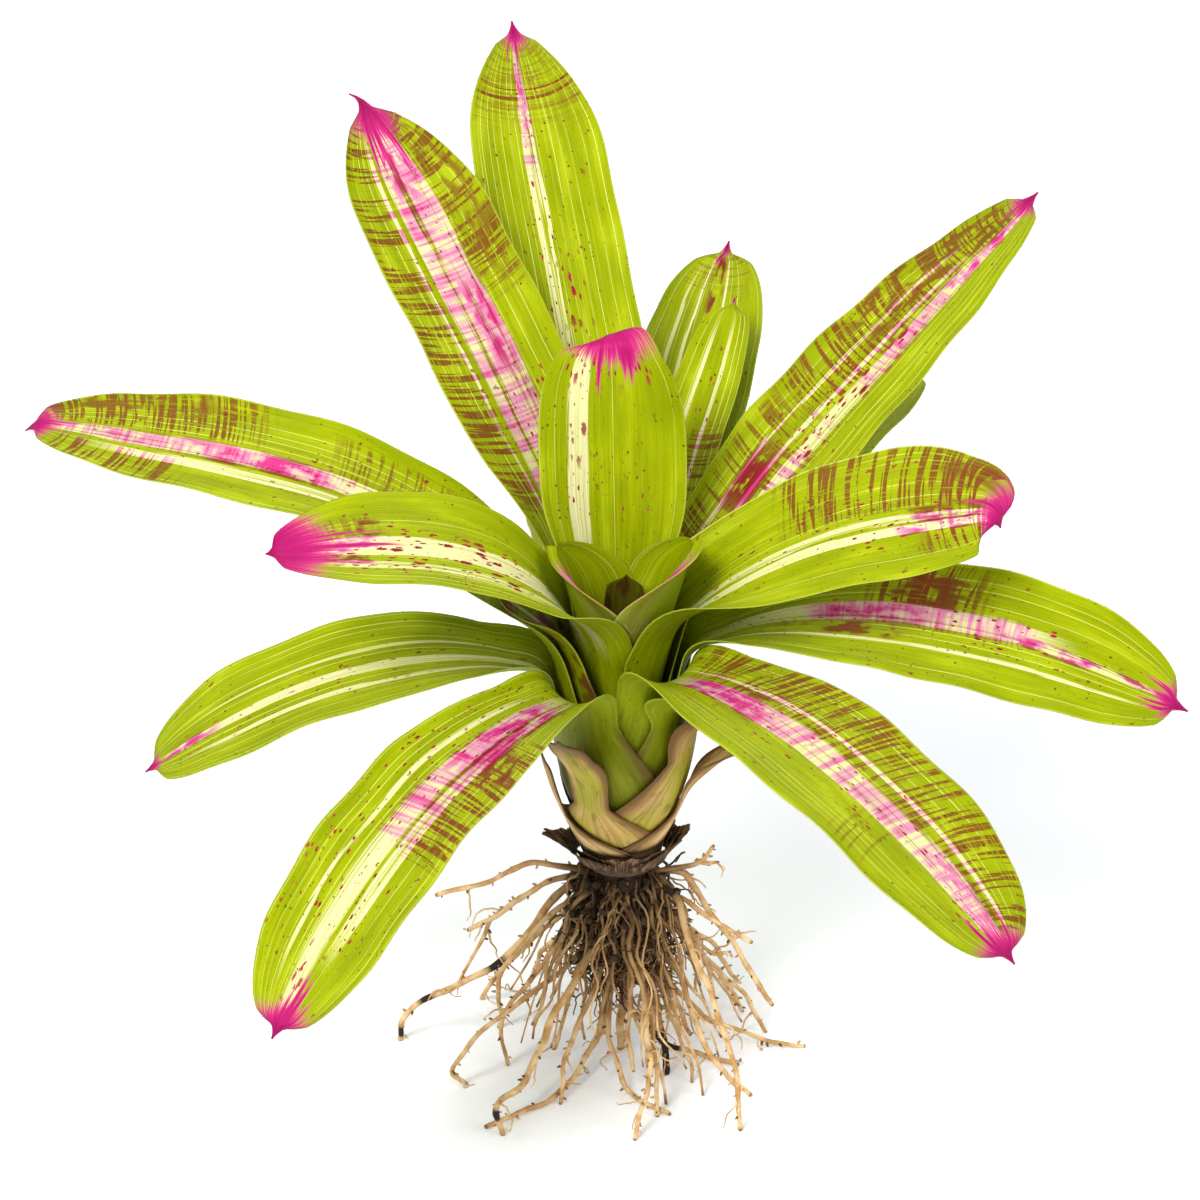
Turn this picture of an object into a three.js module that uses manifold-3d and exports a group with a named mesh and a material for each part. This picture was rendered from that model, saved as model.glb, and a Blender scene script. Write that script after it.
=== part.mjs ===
// A bare-rooted neoregelia bromeliad. Strap leaves wrap their broad bases round one another into a
// bulb on a short conical stem, then arch outwards from a central cup. Torn dead leaf bases ring the
// stem, and a mop of wiry roots below it carries the plant. Millimetres and degrees, +Z up; the
// origin is on the surface it stands on, under the stem, and -Y is the front.
import * as THREE from 'three';
import { mergeVertices } from 'three/addons/utils/BufferGeometryUtils.js';
import Module from 'manifold-3d';

const wasm = await Module();
wasm.setup();

// ---------------------------------------------------------------- driving dimensions
const BLADE_THICKNESS = 0.6;
const LAYER_STEP = 1.1;        // radial pitch of the nested leaf bases
const LAYER_SEAT = 0.9;        // height of a base's lower edge above the stem's side
const STEM_TOP = { radius: 6, height: 136 };
const STEM_BASE = { radius: 17, height: 96 };
const STEM_FOOT = { radius: 13.8, height: 86.5 };
const CROWN_TOP = 86.2;        // the root crown ends just under the stem's foot
// The innermost layer's radius against height; a layer further out adds LAYER_STEP. The lowest
// radii are negative because those layers only exist higher up.
const FUNNEL_HEIGHTS = [88, 96, 108, 122, 135, 150, 166, 182, 200, 230];
const FUNNEL_RADII = [-12.2, -8.6, -2.8, 2.8, 5.7, 7.6, 9.6, 13.2, 18.5, 27];

// ---------------------------------------------------------------- numbers and curves
const radians = THREE.MathUtils.degToRad;
const { clamp } = THREE.MathUtils;

function smooth(x) {
  const t = clamp(x, 0, 1);
  return t * t * (3 - 2 * t);
}

function interpolate(xs, ys, x) {
  if (x <= xs[0]) return ys[0];
  const last = xs.length - 1;
  if (x >= xs[last]) return ys[last];
  let i = 0;
  while (xs[i + 1] < x) i += 1;
  return ys[i] + (ys[i + 1] - ys[i]) * (x - xs[i]) / (xs[i + 1] - xs[i]);
}

// Uniform Catmull-Rom through the values, t from 0 to 1.
function spline(values, t) {
  const last = values.length - 1;
  const x = clamp(t, 0, 1) * last;
  const i = Math.min(Math.floor(x), last - 1);
  const u = x - i;
  const a = values[Math.max(i - 1, 0)];
  const b = values[i];
  const c = values[i + 1];
  const d = values[Math.min(i + 2, last)];
  const linear = (c - a) * u;
  const square = (2 * a - 5 * b + 4 * c - d) * u * u;
  const cube = (3 * b - a - 3 * c + d) * u * u * u;
  return 0.5 * (2 * b + linear + square + cube);
}

// A repeatable draw between 0 and 1 from two whole numbers.
function draw(a, b) {
  const x = Math.sin(a * 12.9898 + b * 78.233) * 43758.5453;
  return x - Math.floor(x);
}

// ---------------------------------------------------------------- nested leaf bases
function sheathRadius(layer, height) {
  return interpolate(FUNNEL_HEIGHTS, FUNNEL_RADII, height) + LAYER_STEP * layer;
}

function stemRadius(height) {
  const t = (height - STEM_BASE.height) / (STEM_TOP.height - STEM_BASE.height);
  return STEM_BASE.radius + (STEM_TOP.radius - STEM_BASE.radius) * t;
}

// Where a layer's funnel comes off the stem's side.
function layerBase(layer) {
  let low = STEM_BASE.height - 1;
  let high = STEM_TOP.height + 1;
  for (let i = 0; i < 40; i += 1) {
    const middle = (low + high) / 2;
    if (sheathRadius(layer, middle) > stemRadius(middle)) high = middle;
    else low = middle;
  }
  return low + LAYER_SEAT;
}

// ---------------------------------------------------------------- leaves
// lean is from the vertical, azimuth from +X, and roll turns the blade about its own length.
function leafFrame(lean, azimuth, roll) {
  const radial = new THREE.Vector3(Math.cos(azimuth), Math.sin(azimuth), 0);
  const around = new THREE.Vector3(-Math.sin(azimuth), Math.cos(azimuth), 0);
  const along = radial.clone().multiplyScalar(Math.sin(lean));
  along.z = Math.cos(lean);
  const inward = radial.clone().multiplyScalar(-Math.cos(lean));
  inward.z = Math.sin(lean);
  const normal = inward.clone().multiplyScalar(Math.cos(roll)).addScaledVector(around, Math.sin(roll));
  const across = around.clone().multiplyScalar(Math.cos(roll)).addScaledVector(inward, -Math.sin(roll));
  return { along, normal, across };
}

// What a leaf has when its entry names nothing else.
const LEAF_DEFAULTS = {
  wrap: 100,          // half angle that the base wraps round the bulb at its foot, degrees
  narrowing: 1.3,     // how late the base narrows on its way up
  swing: 0.55,        // how far the base's margins swing in an S on their way up
  neck: 0.86,         // width where the blade leaves the bulb, of the full width
  open: 0.45,         // share of the blade over which its curl opens
  lag: 12,            // extra length that the rims follow the bulb, mm
  ease: 26,           // length over which the blade leaves the bulb, mm
  full: 0.5,          // where the blade starts to narrow to its tip, of its length
  blunt: 3.5,         // fullness of the tapering part
  point: 0.65,        // 0.5 for a round end, towards 1 for a pointed arch
  spine: 5,           // length of the drawn-out point, mm
  channel: 18,        // half angle of the blade's hollow
  tipCurl: 0,         // extra lean at the very end, degrees
  hook: 0,            // lean of the drawn-out point, degrees
  hookTurn: 0,        // sideways turn of the drawn-out point, degrees
  turn: [0, 0, 0, 0], // change of azimuth along the blade
  roll: [0, 0, 0, 0],
  columns: 10,
};
const TIP_CURL_LENGTH = 14;
const HOOK_LENGTH = 9;
const EARLY_BEND = 0.62;       // below 1, a blade does most of its bending near the bulb

// The centreline from the foot of the base to the tip, as closely spaced points.
function centreline(leaf) {
  const azimuth = radians(leaf.azimuth);
  const foot = layerBase(leaf.layer);
  const points = [];
  const baseSteps = 48;
  let length = 0;
  for (let i = 0; i <= baseSteps; i += 1) {
    const height = foot + (leaf.free - foot) * i / baseSteps;
    const radius = sheathRadius(leaf.layer, height);
    const centre = new THREE.Vector3(radius * Math.cos(azimuth), radius * Math.sin(azimuth), height);
    if (i > 0) length += centre.distanceTo(points[i - 1].centre);
    const reach = 4;
    const rise = sheathRadius(leaf.layer, height + reach) - sheathRadius(leaf.layer, height - reach);
    const lean = Math.atan2(rise, 2 * reach);
    points.push({ length, centre, lean, ...leafFrame(lean, azimuth, 0) });
  }
  const freeLength = length;
  const start = points[baseSteps];
  const leans = [THREE.MathUtils.radToDeg(start.lean), ...leaf.arch];
  const turns = [0, ...leaf.turn];
  const rolls = [0, ...leaf.roll];
  const frameAt = (t) => {
    const q = t ** EARLY_BEND;
    const left = (1 - t) * leaf.length;
    const curl = smooth((TIP_CURL_LENGTH - left) / TIP_CURL_LENGTH);
    const hooked = smooth((HOOK_LENGTH - left) / HOOK_LENGTH);
    const lean = spline(leans, q) + leaf.tipCurl * curl + leaf.hook * hooked;
    const turn = spline(turns, q) + leaf.hookTurn * hooked;
    return leafFrame(radians(lean), azimuth + radians(turn), radians(spline(rolls, q)));
  };
  const bladeSteps = 80;
  const centre = start.centre.clone();
  for (let i = 1; i <= bladeSteps; i += 1) {
    const step = leaf.length / bladeSteps;
    centre.addScaledVector(frameAt((i - 0.5) / bladeSteps).along, step);
    length += step;
    points.push({ length, centre: centre.clone(), ...frameAt(i / bladeSteps) });
  }
  const baseLengths = points.slice(0, baseSteps + 1).map((p) => p.length);
  const baseHeights = points.slice(0, baseSteps + 1).map((p) => p.centre.z);
  return { points, foot, freeLength, tipLength: length, freeRise: start.along.z, baseLengths, baseHeights };
}

function sampleLine(line, length) {
  const { points } = line;
  let i = 0;
  while (i < points.length - 2 && points[i + 1].length < length) i += 1;
  const t = (length - points[i].length) / (points[i + 1].length - points[i].length);
  const mix = (key) => points[i][key].clone().lerp(points[i + 1][key], t);
  return { centre: mix('centre'), normal: mix('normal').normalize(), across: mix('across').normalize() };
}

// Half the width, measured round the sheath or across the blade.
function halfWidth(leaf, line, length, radius) {
  const bladeLength = line.tipLength - line.freeLength;
  const along = (length - line.freeLength) / bladeLength;
  const half = leaf.width / 2;
  if (along < 0) {
    const neckAngle = half * leaf.neck / sheathRadius(leaf.layer, leaf.free);
    const footAngle = radians(leaf.wrap);
    const up = length / line.freeLength;
    const narrowed = (1 - leaf.swing) * up ** leaf.narrowing + leaf.swing * smooth(up);
    return (footAngle + (neckAngle - footAngle) * narrowed) * radius;
  }
  const left = line.tipLength - length;
  const body = half * (1 + (leaf.neck - 1) * (1 - smooth(along / 0.4)));
  const rounding = clamp((left - leaf.spine) / (bladeLength * (1 - leaf.full) - leaf.spine), 0, 1);
  const rounded = (1 - (1 - rounding) ** leaf.blunt) ** leaf.point;
  const spine = 0.35 + 2.6 * Math.min(left / leaf.spine, 1.6) ** 1.6;
  return body * rounded + spine * (1 - rounded);
}

// Lengths at which the rows lie: on the funnel's own bends, then along the blade, close at the tip.
const LONG_BLADE = 60;
function rowLengths(leaf, line) {
  const clear = 3;
  const lengths = [0];
  for (const height of FUNNEL_HEIGHTS) {
    if (height <= line.foot + clear || height >= leaf.free - clear) continue;
    lengths.push(interpolate(line.baseHeights, line.baseLengths, height));
  }
  lengths.push(line.freeLength);
  if (leaf.fineBase) {
    for (let i = lengths.length - 1; i > 0; i -= 1) {
      lengths.splice(i, 0, (lengths[i - 1] + lengths[i]) / 2);
    }
  }
  const long = leaf.length > LONG_BLADE;
  const tip = long ? [leaf.spine + 9, leaf.spine + 2, leaf.spine, 0] : [leaf.spine * 2, leaf.spine, 0];
  const body = leaf.length - tip[0];
  const rows = Math.max(2, Math.round(body / (long ? 30 : 12)));
  for (let i = 1; i <= rows; i += 1) lengths.push(line.freeLength + body * (i / rows) ** 1.15);
  for (const left of tip.slice(1)) lengths.push(line.tipLength - left);
  return lengths;
}

// The leaf's middle surface as rows of points from one rim to the other.
function leafRows(leaf) {
  const line = centreline(leaf);
  const azimuth = radians(leaf.azimuth);
  const freeRadius = sheathRadius(leaf.layer, leaf.free);
  return rowLengths(leaf, line).map((length) => {
    const { centre, normal, across } = sampleLine(line, length);
    const inBase = length <= line.freeLength;
    const height = inBase ? centre.z : leaf.free + (length - line.freeLength) * line.freeRise;
    const radius = sheathRadius(leaf.layer, height);
    const half = halfWidth(leaf, line, length, radius);
    const along = Math.max(0, (length - line.freeLength) / (line.tipLength - line.freeLength));
    const hollow = radians(leaf.channel) * Math.min(1, half / (leaf.width / 2));
    const curl = Math.hypot(Math.min(half / freeRadius, 1.35) * (1 - smooth(along / leaf.open)), hollow);
    const row = [];
    for (let j = 0; j <= leaf.columns; j += 1) {
      const side = -1 + 2 * j / leaf.columns;
      const angle = azimuth + side * half / radius;
      const point = new THREE.Vector3(radius * Math.cos(angle), radius * Math.sin(angle), height);
      const past = length - line.freeLength - leaf.lag * side * side;
      const released = inBase && side === 0 ? 0 : smooth(past / leaf.ease + 0.15);
      if (released > 0) {
        const bend = half / curl;
        const free = centre.clone()
          .addScaledVector(across, bend * Math.sin(side * curl))
          .addScaledVector(normal, bend * (1 - Math.cos(side * curl)));
        point.lerp(free, released);
      }
      row.push(point);
    }
    return row;
  });
}

// Thickens a grid of points into one closed solid. Both faces are split along the same diagonals.
function solidFromRows(rows, thickness) {
  const rowCount = rows.length;
  const columnCount = rows[0].length;
  const offset = rowCount * columnCount;
  const positions = new Float32Array(offset * 2 * 3);
  const near = (i, count) => [Math.max(i - 1, 0), Math.min(i + 1, count - 1)];
  rows.forEach((row, i) => row.forEach((point, j) => {
    const [i0, i1] = near(i, rowCount);
    const [j0, j1] = near(j, columnCount);
    const along = rows[i1][j].clone().sub(rows[i0][j]);
    const across = row[j1].clone().sub(row[j0]);
    const normal = across.cross(along).normalize().multiplyScalar(thickness / 2);
    const index = i * columnCount + j;
    point.clone().add(normal).toArray(positions, index * 3);
    point.clone().sub(normal).toArray(positions, (offset + index) * 3);
  }));
  const faces = [];
  const quad = (a, b, c, d) => faces.push(a, b, c, a, c, d);
  for (let i = 0; i < rowCount - 1; i += 1) {
    for (let j = 0; j < columnCount - 1; j += 1) {
      const a = i * columnCount + j;
      const [b, c, d] = [a + 1, a + columnCount, a + columnCount + 1];
      const rising = rows[i][j].distanceTo(rows[i + 1][j + 1]) <= rows[i][j + 1].distanceTo(rows[i + 1][j]);
      if (rising) {
        quad(a, b, d, c);
        quad(offset + d, offset + b, offset + a, offset + c);
      } else {
        quad(b, d, c, a);
        quad(offset + b, offset + a, offset + c, offset + d);
      }
    }
  }
  for (let i = 0; i < rowCount - 1; i += 1) {
    const left = i * columnCount;
    const right = left + columnCount - 1;
    quad(left, left + columnCount, offset + left + columnCount, offset + left);
    quad(right, offset + right, offset + right + columnCount, right + columnCount);
  }
  for (let j = 0; j < columnCount - 1; j += 1) {
    const top = (rowCount - 1) * columnCount + j;
    quad(j, offset + j, offset + j + 1, j + 1);
    quad(top, top + 1, offset + top + 1, offset + top);
  }
  const geometry = new THREE.BufferGeometry();
  geometry.setAttribute('position', new THREE.BufferAttribute(positions, 3));
  geometry.setIndex(faces);
  return geometry;
}

// The living leaves from the heart outwards, then the old and dry ones at the foot of the bulb.
// free is the height at which the blade leaves the bulb; arch is the blade's lean at four steps.
const LEAVES = {
  heart_leaf: {
    azimuth: 80, layer: 0, free: 165, length: 40, width: 20, arch: [3, 2, 0, -4], wrap: 120,
    neck: 1.0, channel: 60, blunt: 2.2, point: 0.5, spine: 2, columns: 8,
  },
  cup_leaf_left: {
    azimuth: 175, layer: 1, free: 184, length: 38, width: 66, arch: [14, 14, 13, 12], wrap: 110,
    neck: 1.0, open: 3.0, lag: 0, ease: 400, channel: 50, full: 0.42, blunt: 2, point: 0.75,
    spine: 2, columns: 12,
  },
  cup_leaf_right: {
    azimuth: 353, layer: 2, free: 184, length: 43, width: 66, arch: [14, 14, 13, 12], wrap: 110,
    neck: 1.0, open: 3.0, lag: 0, ease: 400, channel: 50, full: 0.45, blunt: 2, point: 0.75,
    spine: 3, columns: 12,
  },
  leaf_centre: {
    azimuth: 98, layer: 3, free: 188, length: 112, width: 58, arch: [14, 10, 6, 3],
    roll: [0, 0, 2, 20], neck: 0.8, open: 0.6, channel: 20, blunt: 3, point: 0.55, spine: 4,
    tipCurl: 115,
  },
  leaf_left_inner: {
    azimuth: 212, layer: 4, free: 182, length: 146, width: 52, arch: [28, 55, 79, 92],
    turn: [-7, -13, -15, -16], roll: [5, 18, 22, 22], wrap: 110, neck: 0.9, open: 0.3, blunt: 2.4,
    point: 0.75, spine: 3, columns: 12,
  },
  leaf_right_inner: {
    azimuth: 357, layer: 5, free: 181, length: 148, width: 57, arch: [40, 57, 73, 86],
    turn: [-3, -3, -3, -3], roll: [-5, -22, -36, -36], wrap: 110, neck: 0.95, full: 0.62, blunt: 3,
    point: 0.5, spine: 3, tipCurl: 80, columns: 12,
  },
  leaf_top_left: {
    azimuth: 122, layer: 6, free: 184, length: 228, width: 56, arch: [31, 38, 42, 41],
    turn: [4, 10, 11.5, 11], roll: [5, 12, 14, 14], neck: 0.45, full: 0.68, blunt: 3, point: 1.15,
    spine: 9, hook: 25, hookTurn: 50,
  },
  leaf_top: {
    azimuth: 99, layer: 7, free: 180, length: 256, width: 56, arch: [38, 43, 44, 42],
    turn: [2, 5, 6, 6], neck: 0.4, open: 0.2, full: 0.7, blunt: 3, point: 1.1, spine: 6,
  },
  leaf_right_upper: {
    azimuth: 39, layer: 8, free: 178, length: 231, width: 54, arch: [46, 50, 54, 56],
    turn: [-2, -5, -6, -6], roll: [-5, -12, -15, -15], neck: 0.65, open: 0.3, full: 0.25,
    blunt: 2.6, point: 0.75, spine: 6,
  },
  leaf_back_small: {
    azimuth: 73, layer: 9, free: 177, length: 150, width: 28, arch: [50, 50, 52, 52],
    turn: [-1, -3, -4, -4], neck: 0.45, columns: 8,
  },
  leaf_left_hidden: {
    azimuth: 192, layer: 10, free: 176, length: 46, width: 28, arch: [20, 34, 50, 56],
    roll: [5, 10, 15, 15], wrap: 110, neck: 1.2, blunt: 2.2, point: 0.5,
  },
  leaf_back_right: {
    azimuth: 76, layer: 11, free: 172, length: 196, width: 50, arch: [52, 58, 60, 60], neck: 0.75,
    spine: 7,
  },
  leaf_right_lower: {
    azimuth: 358, layer: 12, free: 170, length: 205, width: 54, arch: [64, 87, 101, 116],
    turn: [-2, -5, -7, -7], roll: [-8, -24, -38, -38], neck: 0.4, open: 0.3, spine: 6,
  },
  leaf_left_upper: {
    azimuth: 168, layer: 13, free: 168, length: 242, width: 50, arch: [38, 62, 82, 86],
    roll: [4, 18, 26, 20], neck: 0.9, open: 0.25, point: 0.75, tipCurl: 40,
  },
  leaf_front_right: {
    azimuth: 306, layer: 14, free: 166, length: 200, width: 67, arch: [73, 97, 112, 124],
    turn: [3, 6, 8, 8], neck: 0.55, open: 0.3,
  },
  leaf_right_back: {
    azimuth: 51, layer: 15, free: 162, length: 182, width: 40, arch: [54, 64, 70, 74],
    turn: [-1, -2, -3, -3], spine: 6,
  },
  leaf_right_hidden: {
    azimuth: 325, layer: 16, free: 156, length: 34, width: 38, arch: [40, 62, 76, 84], neck: 0.7,
    blunt: 2.2, point: 0.5,
  },
  leaf_left_lower: {
    azimuth: 180, layer: 17, free: 160, length: 172, width: 52, arch: [72, 95, 112, 124],
    turn: [1, 3, 5, 6], roll: [5, 14, 18, 18], narrowing: 1.2, neck: 0.5,
  },
  leaf_front_left: {
    azimuth: 235, layer: 18, free: 159, length: 200, width: 58, arch: [80, 102, 119, 129],
    turn: [-4, -5, -2, 1], wrap: 106, narrowing: 1.1, swing: 0.35, neck: 0.55, columns: 12,
  },
  leaf_back: {
    azimuth: 96, layer: 19, free: 150, length: 190, width: 50, arch: [64, 88, 98, 105], spine: 7,
  },
  old_leaf_right: {
    azimuth: 332, layer: 20, free: 140, length: 24, width: 26, arch: [24, 28, 30, 32], wrap: 110,
    narrowing: 1.1, swing: 0.2, neck: 0.9, blunt: 2.2, point: 0.5, spine: 3, fineBase: true,
  },
  old_leaf_left: {
    azimuth: 242, layer: 21, free: 122, length: 48, width: 18, arch: [22, 30, 38, 42], wrap: 85,
    narrowing: 1.0, swing: 0.2, blunt: 2.2, point: 0.5, spine: 4, fineBase: true,
  },
  dry_leaf_right: {
    azimuth: 345, layer: 22, free: 114, length: 82, width: 17, arch: [34, 44, 96, 112], wrap: 80,
    narrowing: 1.0, blunt: 2.2, point: 0.5, spine: 6, fineBase: true,
  },
  dry_leaf_left: {
    azimuth: 195, layer: 23, free: 112, length: 30, width: 14, arch: [24, 18, 14, 10], wrap: 90,
    narrowing: 1.0, blunt: 2.2, point: 0.5, fineBase: true,
  },
};

// ---------------------------------------------------------------- stem, dead bases and roots
// A closed tube through rings of the given centres and radii; side is the direction of each
// ring's first point and lies well across the tube's run.
function tube(centres, radii, sides, side) {
  const rings = centres.map((centre, i) => {
    const before = centres[Math.max(i - 1, 0)];
    const after = centres[Math.min(i + 1, centres.length - 1)];
    const run = after.clone().sub(before).normalize();
    const u = side.clone().addScaledVector(run, -side.dot(run)).normalize();
    const v = run.clone().cross(u);
    return Array.from({ length: sides }, (_, k) => {
      const angle = 2 * Math.PI * k / sides;
      return centre.clone()
        .addScaledVector(u, radii[i] * Math.cos(angle))
        .addScaledVector(v, radii[i] * Math.sin(angle));
    });
  });
  const faces = [];
  for (let i = 0; i < rings.length - 1; i += 1) {
    for (let k = 0; k < sides; k += 1) {
      const a = i * sides + k;
      const b = i * sides + (k + 1) % sides;
      faces.push(a, b, b + sides, a, b + sides, a + sides);
    }
  }
  const last = (rings.length - 1) * sides;
  for (let k = 1; k < sides - 1; k += 1) {
    faces.push(0, k + 1, k);
    faces.push(last, last + k, last + k + 1);
  }
  const geometry = new THREE.BufferGeometry();
  geometry.setFromPoints(rings.flat());
  geometry.setIndex(faces);
  return geometry;
}

const STEM_SIDES = 24;
function stemGeometry() {
  const rings = [
    STEM_FOOT,
    { radius: 14.7, height: 89 },
    { radius: 15.8, height: 93 },
    STEM_BASE,
    STEM_TOP,
  ];
  const centres = rings.map((ring) => new THREE.Vector3(0, 0, ring.height));
  return tube(centres, rings.map((ring) => ring.radius), STEM_SIDES, new THREE.Vector3(1, 0, 0));
}

// A dead leaf base: a strip of its layer's funnel with a torn upper edge, whose tall splinters
// lean outwards. torn holds the strip's height at even steps round it.
function deadBaseRows({ layer, azimuth, wrap, foot, torn, flare }) {
  const rowCount = 4;
  const tallest = Math.max(...torn);
  return Array.from({ length: rowCount }, (_, i) => torn.map((tall, j) => {
    const up = tall * i / (rowCount - 1);
    const height = foot + up;
    const radius = sheathRadius(layer, height) + flare * (up / tallest) ** 2;
    const angle = radians(azimuth + wrap * (2 * j / (torn.length - 1) - 1));
    return new THREE.Vector3(radius * Math.cos(angle), radius * Math.sin(angle), height);
  }));
}

// Two rings of dead bases, the outer one only where splinters stand up at the left and the right.
const DEAD_BASES = {
  dead_base_back: {
    layer: 24, azimuth: 90, wrap: 95, foot: 93, flare: 1,
    torn: [7, 10, 8, 12, 9, 13, 10, 8, 11, 7, 9],
  },
  dead_base_front: {
    layer: 25, azimuth: 280, wrap: 80, foot: 90.5, flare: 0.4,
    torn: [9, 7, 8, 6, 7, 8, 7, 9, 8, 10, 12],
  },
  dead_base_right: {
    layer: 26, azimuth: 340, wrap: 60, foot: 90, flare: 4,
    torn: [3, 5, 7, 9, 12, 16, 11, 8, 6],
  },
  dead_base_left: {
    layer: 26, azimuth: 205, wrap: 55, foot: 90, flare: 10,
    torn: [5, 8, 12, 16, 9, 7, 8, 5],
  },
};

// The larger roots in front and at the sides, from inside the crown to their tips. A tip at height
// 0 stands on the surface.
const MAIN_ROOTS = [
  // Far left.
  {
    radius: 1.7,
    route: [
      [-6, 3, 82], [-23, 5, 71], [-42, 5, 43],
      [-67, 6, 26], [-86, 7, 12], [-89, 7, 0],
    ],
  },
  // Left, in the air.
  { radius: 1.4, route: [[-6, 1, 82], [-28, 2, 76], [-44, 4, 63], [-61, 5, 52]] },
  // Left, highest.
  { radius: 1.4, route: [[-6, 0, 80], [-20, -2, 84], [-38, -3, 86], [-53, -5, 80], [-73, -6, 74]] },
  // Left fork.
  { radius: 1.0, route: [[-44, 4, 63], [-50, 7, 57], [-56, 8, 45], [-66, 6, 26]] },
  // Left, upright end.
  { radius: 1.2, route: [[-6, -3, 78], [-24, -7, 70], [-47, -13, 42], [-48, -13, 22], [-45, -12, 0]] },
  // Left, curled end.
  {
    radius: 1.3,
    route: [
      [-4, -2, 58], [-14, -6, 51], [-35, -15, 36],
      [-56, -24, 20], [-67, -29, 9], [-61, -26, 0],
    ],
  },
  // Front left, thick.
  {
    radius: 1.7,
    route: [
      [-3, -4, 64], [-14, -21, 53], [-27, -38, 36],
      [-38, -52, 18], [-48, -66, 15], [-46, -63, 0],
    ],
  },
  // Front left, lying.
  { radius: 1.4, route: [[-2, -4, 46], [-9, -16, 20], [-20, -33, 5], [-37, -48, 2], [-53, -59, 1]] },
  // Front, left of the middle.
  { radius: 1.2, route: [[-3, -3, 52], [-16, -24, 30], [-22, -36, 14], [-24, -41, 0]] },
  // Front, crossing.
  { radius: 1.3, route: [[-2, -4, 44], [-5, -22, 18], [4, -38, 4], [19, -50, 1]] },
  // Front, longest.
  { radius: 1.3, route: [[3, -4, 60], [8, -24, 44], [11, -44, 28], [9, -58, 16], [5, -67, 0]] },
  // Front, right of the middle.
  { radius: 1.3, route: [[4, -4, 56], [12, -26, 34], [13, -42, 16], [14, -50, 0]] },
  // Dark stub.
  { radius: 2.0, route: [[5, -4, 52], [15, -14, 26], [18, -19, 0]] },
  // Right, short.
  { radius: 1.0, route: [[5, -4, 50], [18, -14, 30], [26, -22, 12], [28, -25, 0]] },
  // Right, lying.
  { radius: 1.4, route: [[-3, 3, 40], [4, 3, 18], [18, -2, 4], [36, -9, 2], [47, -13, 1]] },
  // Right, low.
  { radius: 1.4, route: [[4, -2, 62], [20, -12, 45], [30, -20, 24], [42, -29, 5], [51, -36, 1]] },
  // Front right.
  {
    radius: 1.5,
    route: [
      [6, -3, 78], [22, -12, 76], [28, -26, 57],
      [37, -42, 44], [43, -53, 27], [46, -60, 0],
    ],
  },
  // Far right.
  { radius: 1.2, route: [[3, 2, 44], [20, 3, 28], [36, 2, 13], [61, 1, 3], [74, 1, 1]] },
  // Right, in the air.
  { radius: 1.5, route: [[6, -1, 80], [24, -4, 83], [35, -6, 67], [48, -9, 46], [60, -11, 27]] },
  // Right, straight.
  { radius: 1.3, route: [[6, -3, 78], [20, -9, 75], [35, -16, 70], [51, -24, 63]] },
  // Right, highest.
  { radius: 1.2, route: [[7, -2, 82], [20, -5, 85], [30, -8, 91], [36, -9, 98]] },
  // Right fork.
  { radius: 0.9, route: [[30, -8, 91], [34, -9, 90], [38, -10, 91]] },
  // Right, bent.
  { radius: 1.0, route: [[6, -2, 74], [22, -6, 72], [26, -7, 60], [36, -10, 50], [43, -12, 52]] },
  // Middle.
  { radius: 2.4, route: [[0, 0, 60], [1, 1, 30], [0, 0, 0]] },
];

// Roots that fill the back and the middle of the mop, evenly round with a little scatter.
function scatteredRoots({ count, seed, firstAzimuth, stepAzimuth, reach, drop, radius }) {
  return Array.from({ length: count }, (_, i) => {
    const azimuth = radians(firstAzimuth + stepAzimuth * i + 10 * (draw(seed, i) - 0.5));
    const far = reach[0] + (reach[1] - reach[0]) * draw(seed + 1, i);
    const tip = drop[0] + (drop[1] - drop[0]) * draw(seed + 2, i);
    const start = 58 + 18 * draw(seed + 3, i);
    const sway = 8 * (draw(seed + 4, i) - 0.5);
    const at = (share, height, side) => {
      const turn = azimuth + side / Math.max(far, 20);
      return [far * share * Math.cos(turn), far * share * Math.sin(turn), height];
    };
    const fall = start - tip;
    return {
      radius: radius * (0.85 + 0.3 * draw(seed + 5, i)),
      route: [
        at(0.1, start, 0),
        at(0.45, tip + fall * 0.7, sway),
        at(0.8, tip + fall * 0.3, -sway),
        at(1, tip, 0),
      ],
    };
  });
}
const BACK_ROOTS = {
  count: 9, seed: 3, firstAzimuth: 12, stepAzimuth: 19, reach: [52, 74], drop: [0, 0], radius: 1.3,
};
const INNER_ROOTS = {
  count: 12, seed: 11, firstAzimuth: 0, stepAzimuth: 137.5, reach: [16, 34], drop: [3, 30], radius: 1.2,
};
const CROWN_CORE = [
  { radius: 13, height: CROWN_TOP },
  { radius: 12.5, height: 80 },
  { radius: 9.5, height: 66 },
  { radius: 6.5, height: 50 },
  { radius: 4, height: 34 },
];
const ROOT_STEP = 15;          // length of one straight run of a root, mm
const ROOT_TAPER = 0.66;       // radius at the tip, of the radius at the crown
const THICK_ROOT = 1.3;        // roots of a larger radius have one more side
const FOOT_CUT = 1.2;          // a standing tip runs on below the surface and is cut off there

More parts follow.
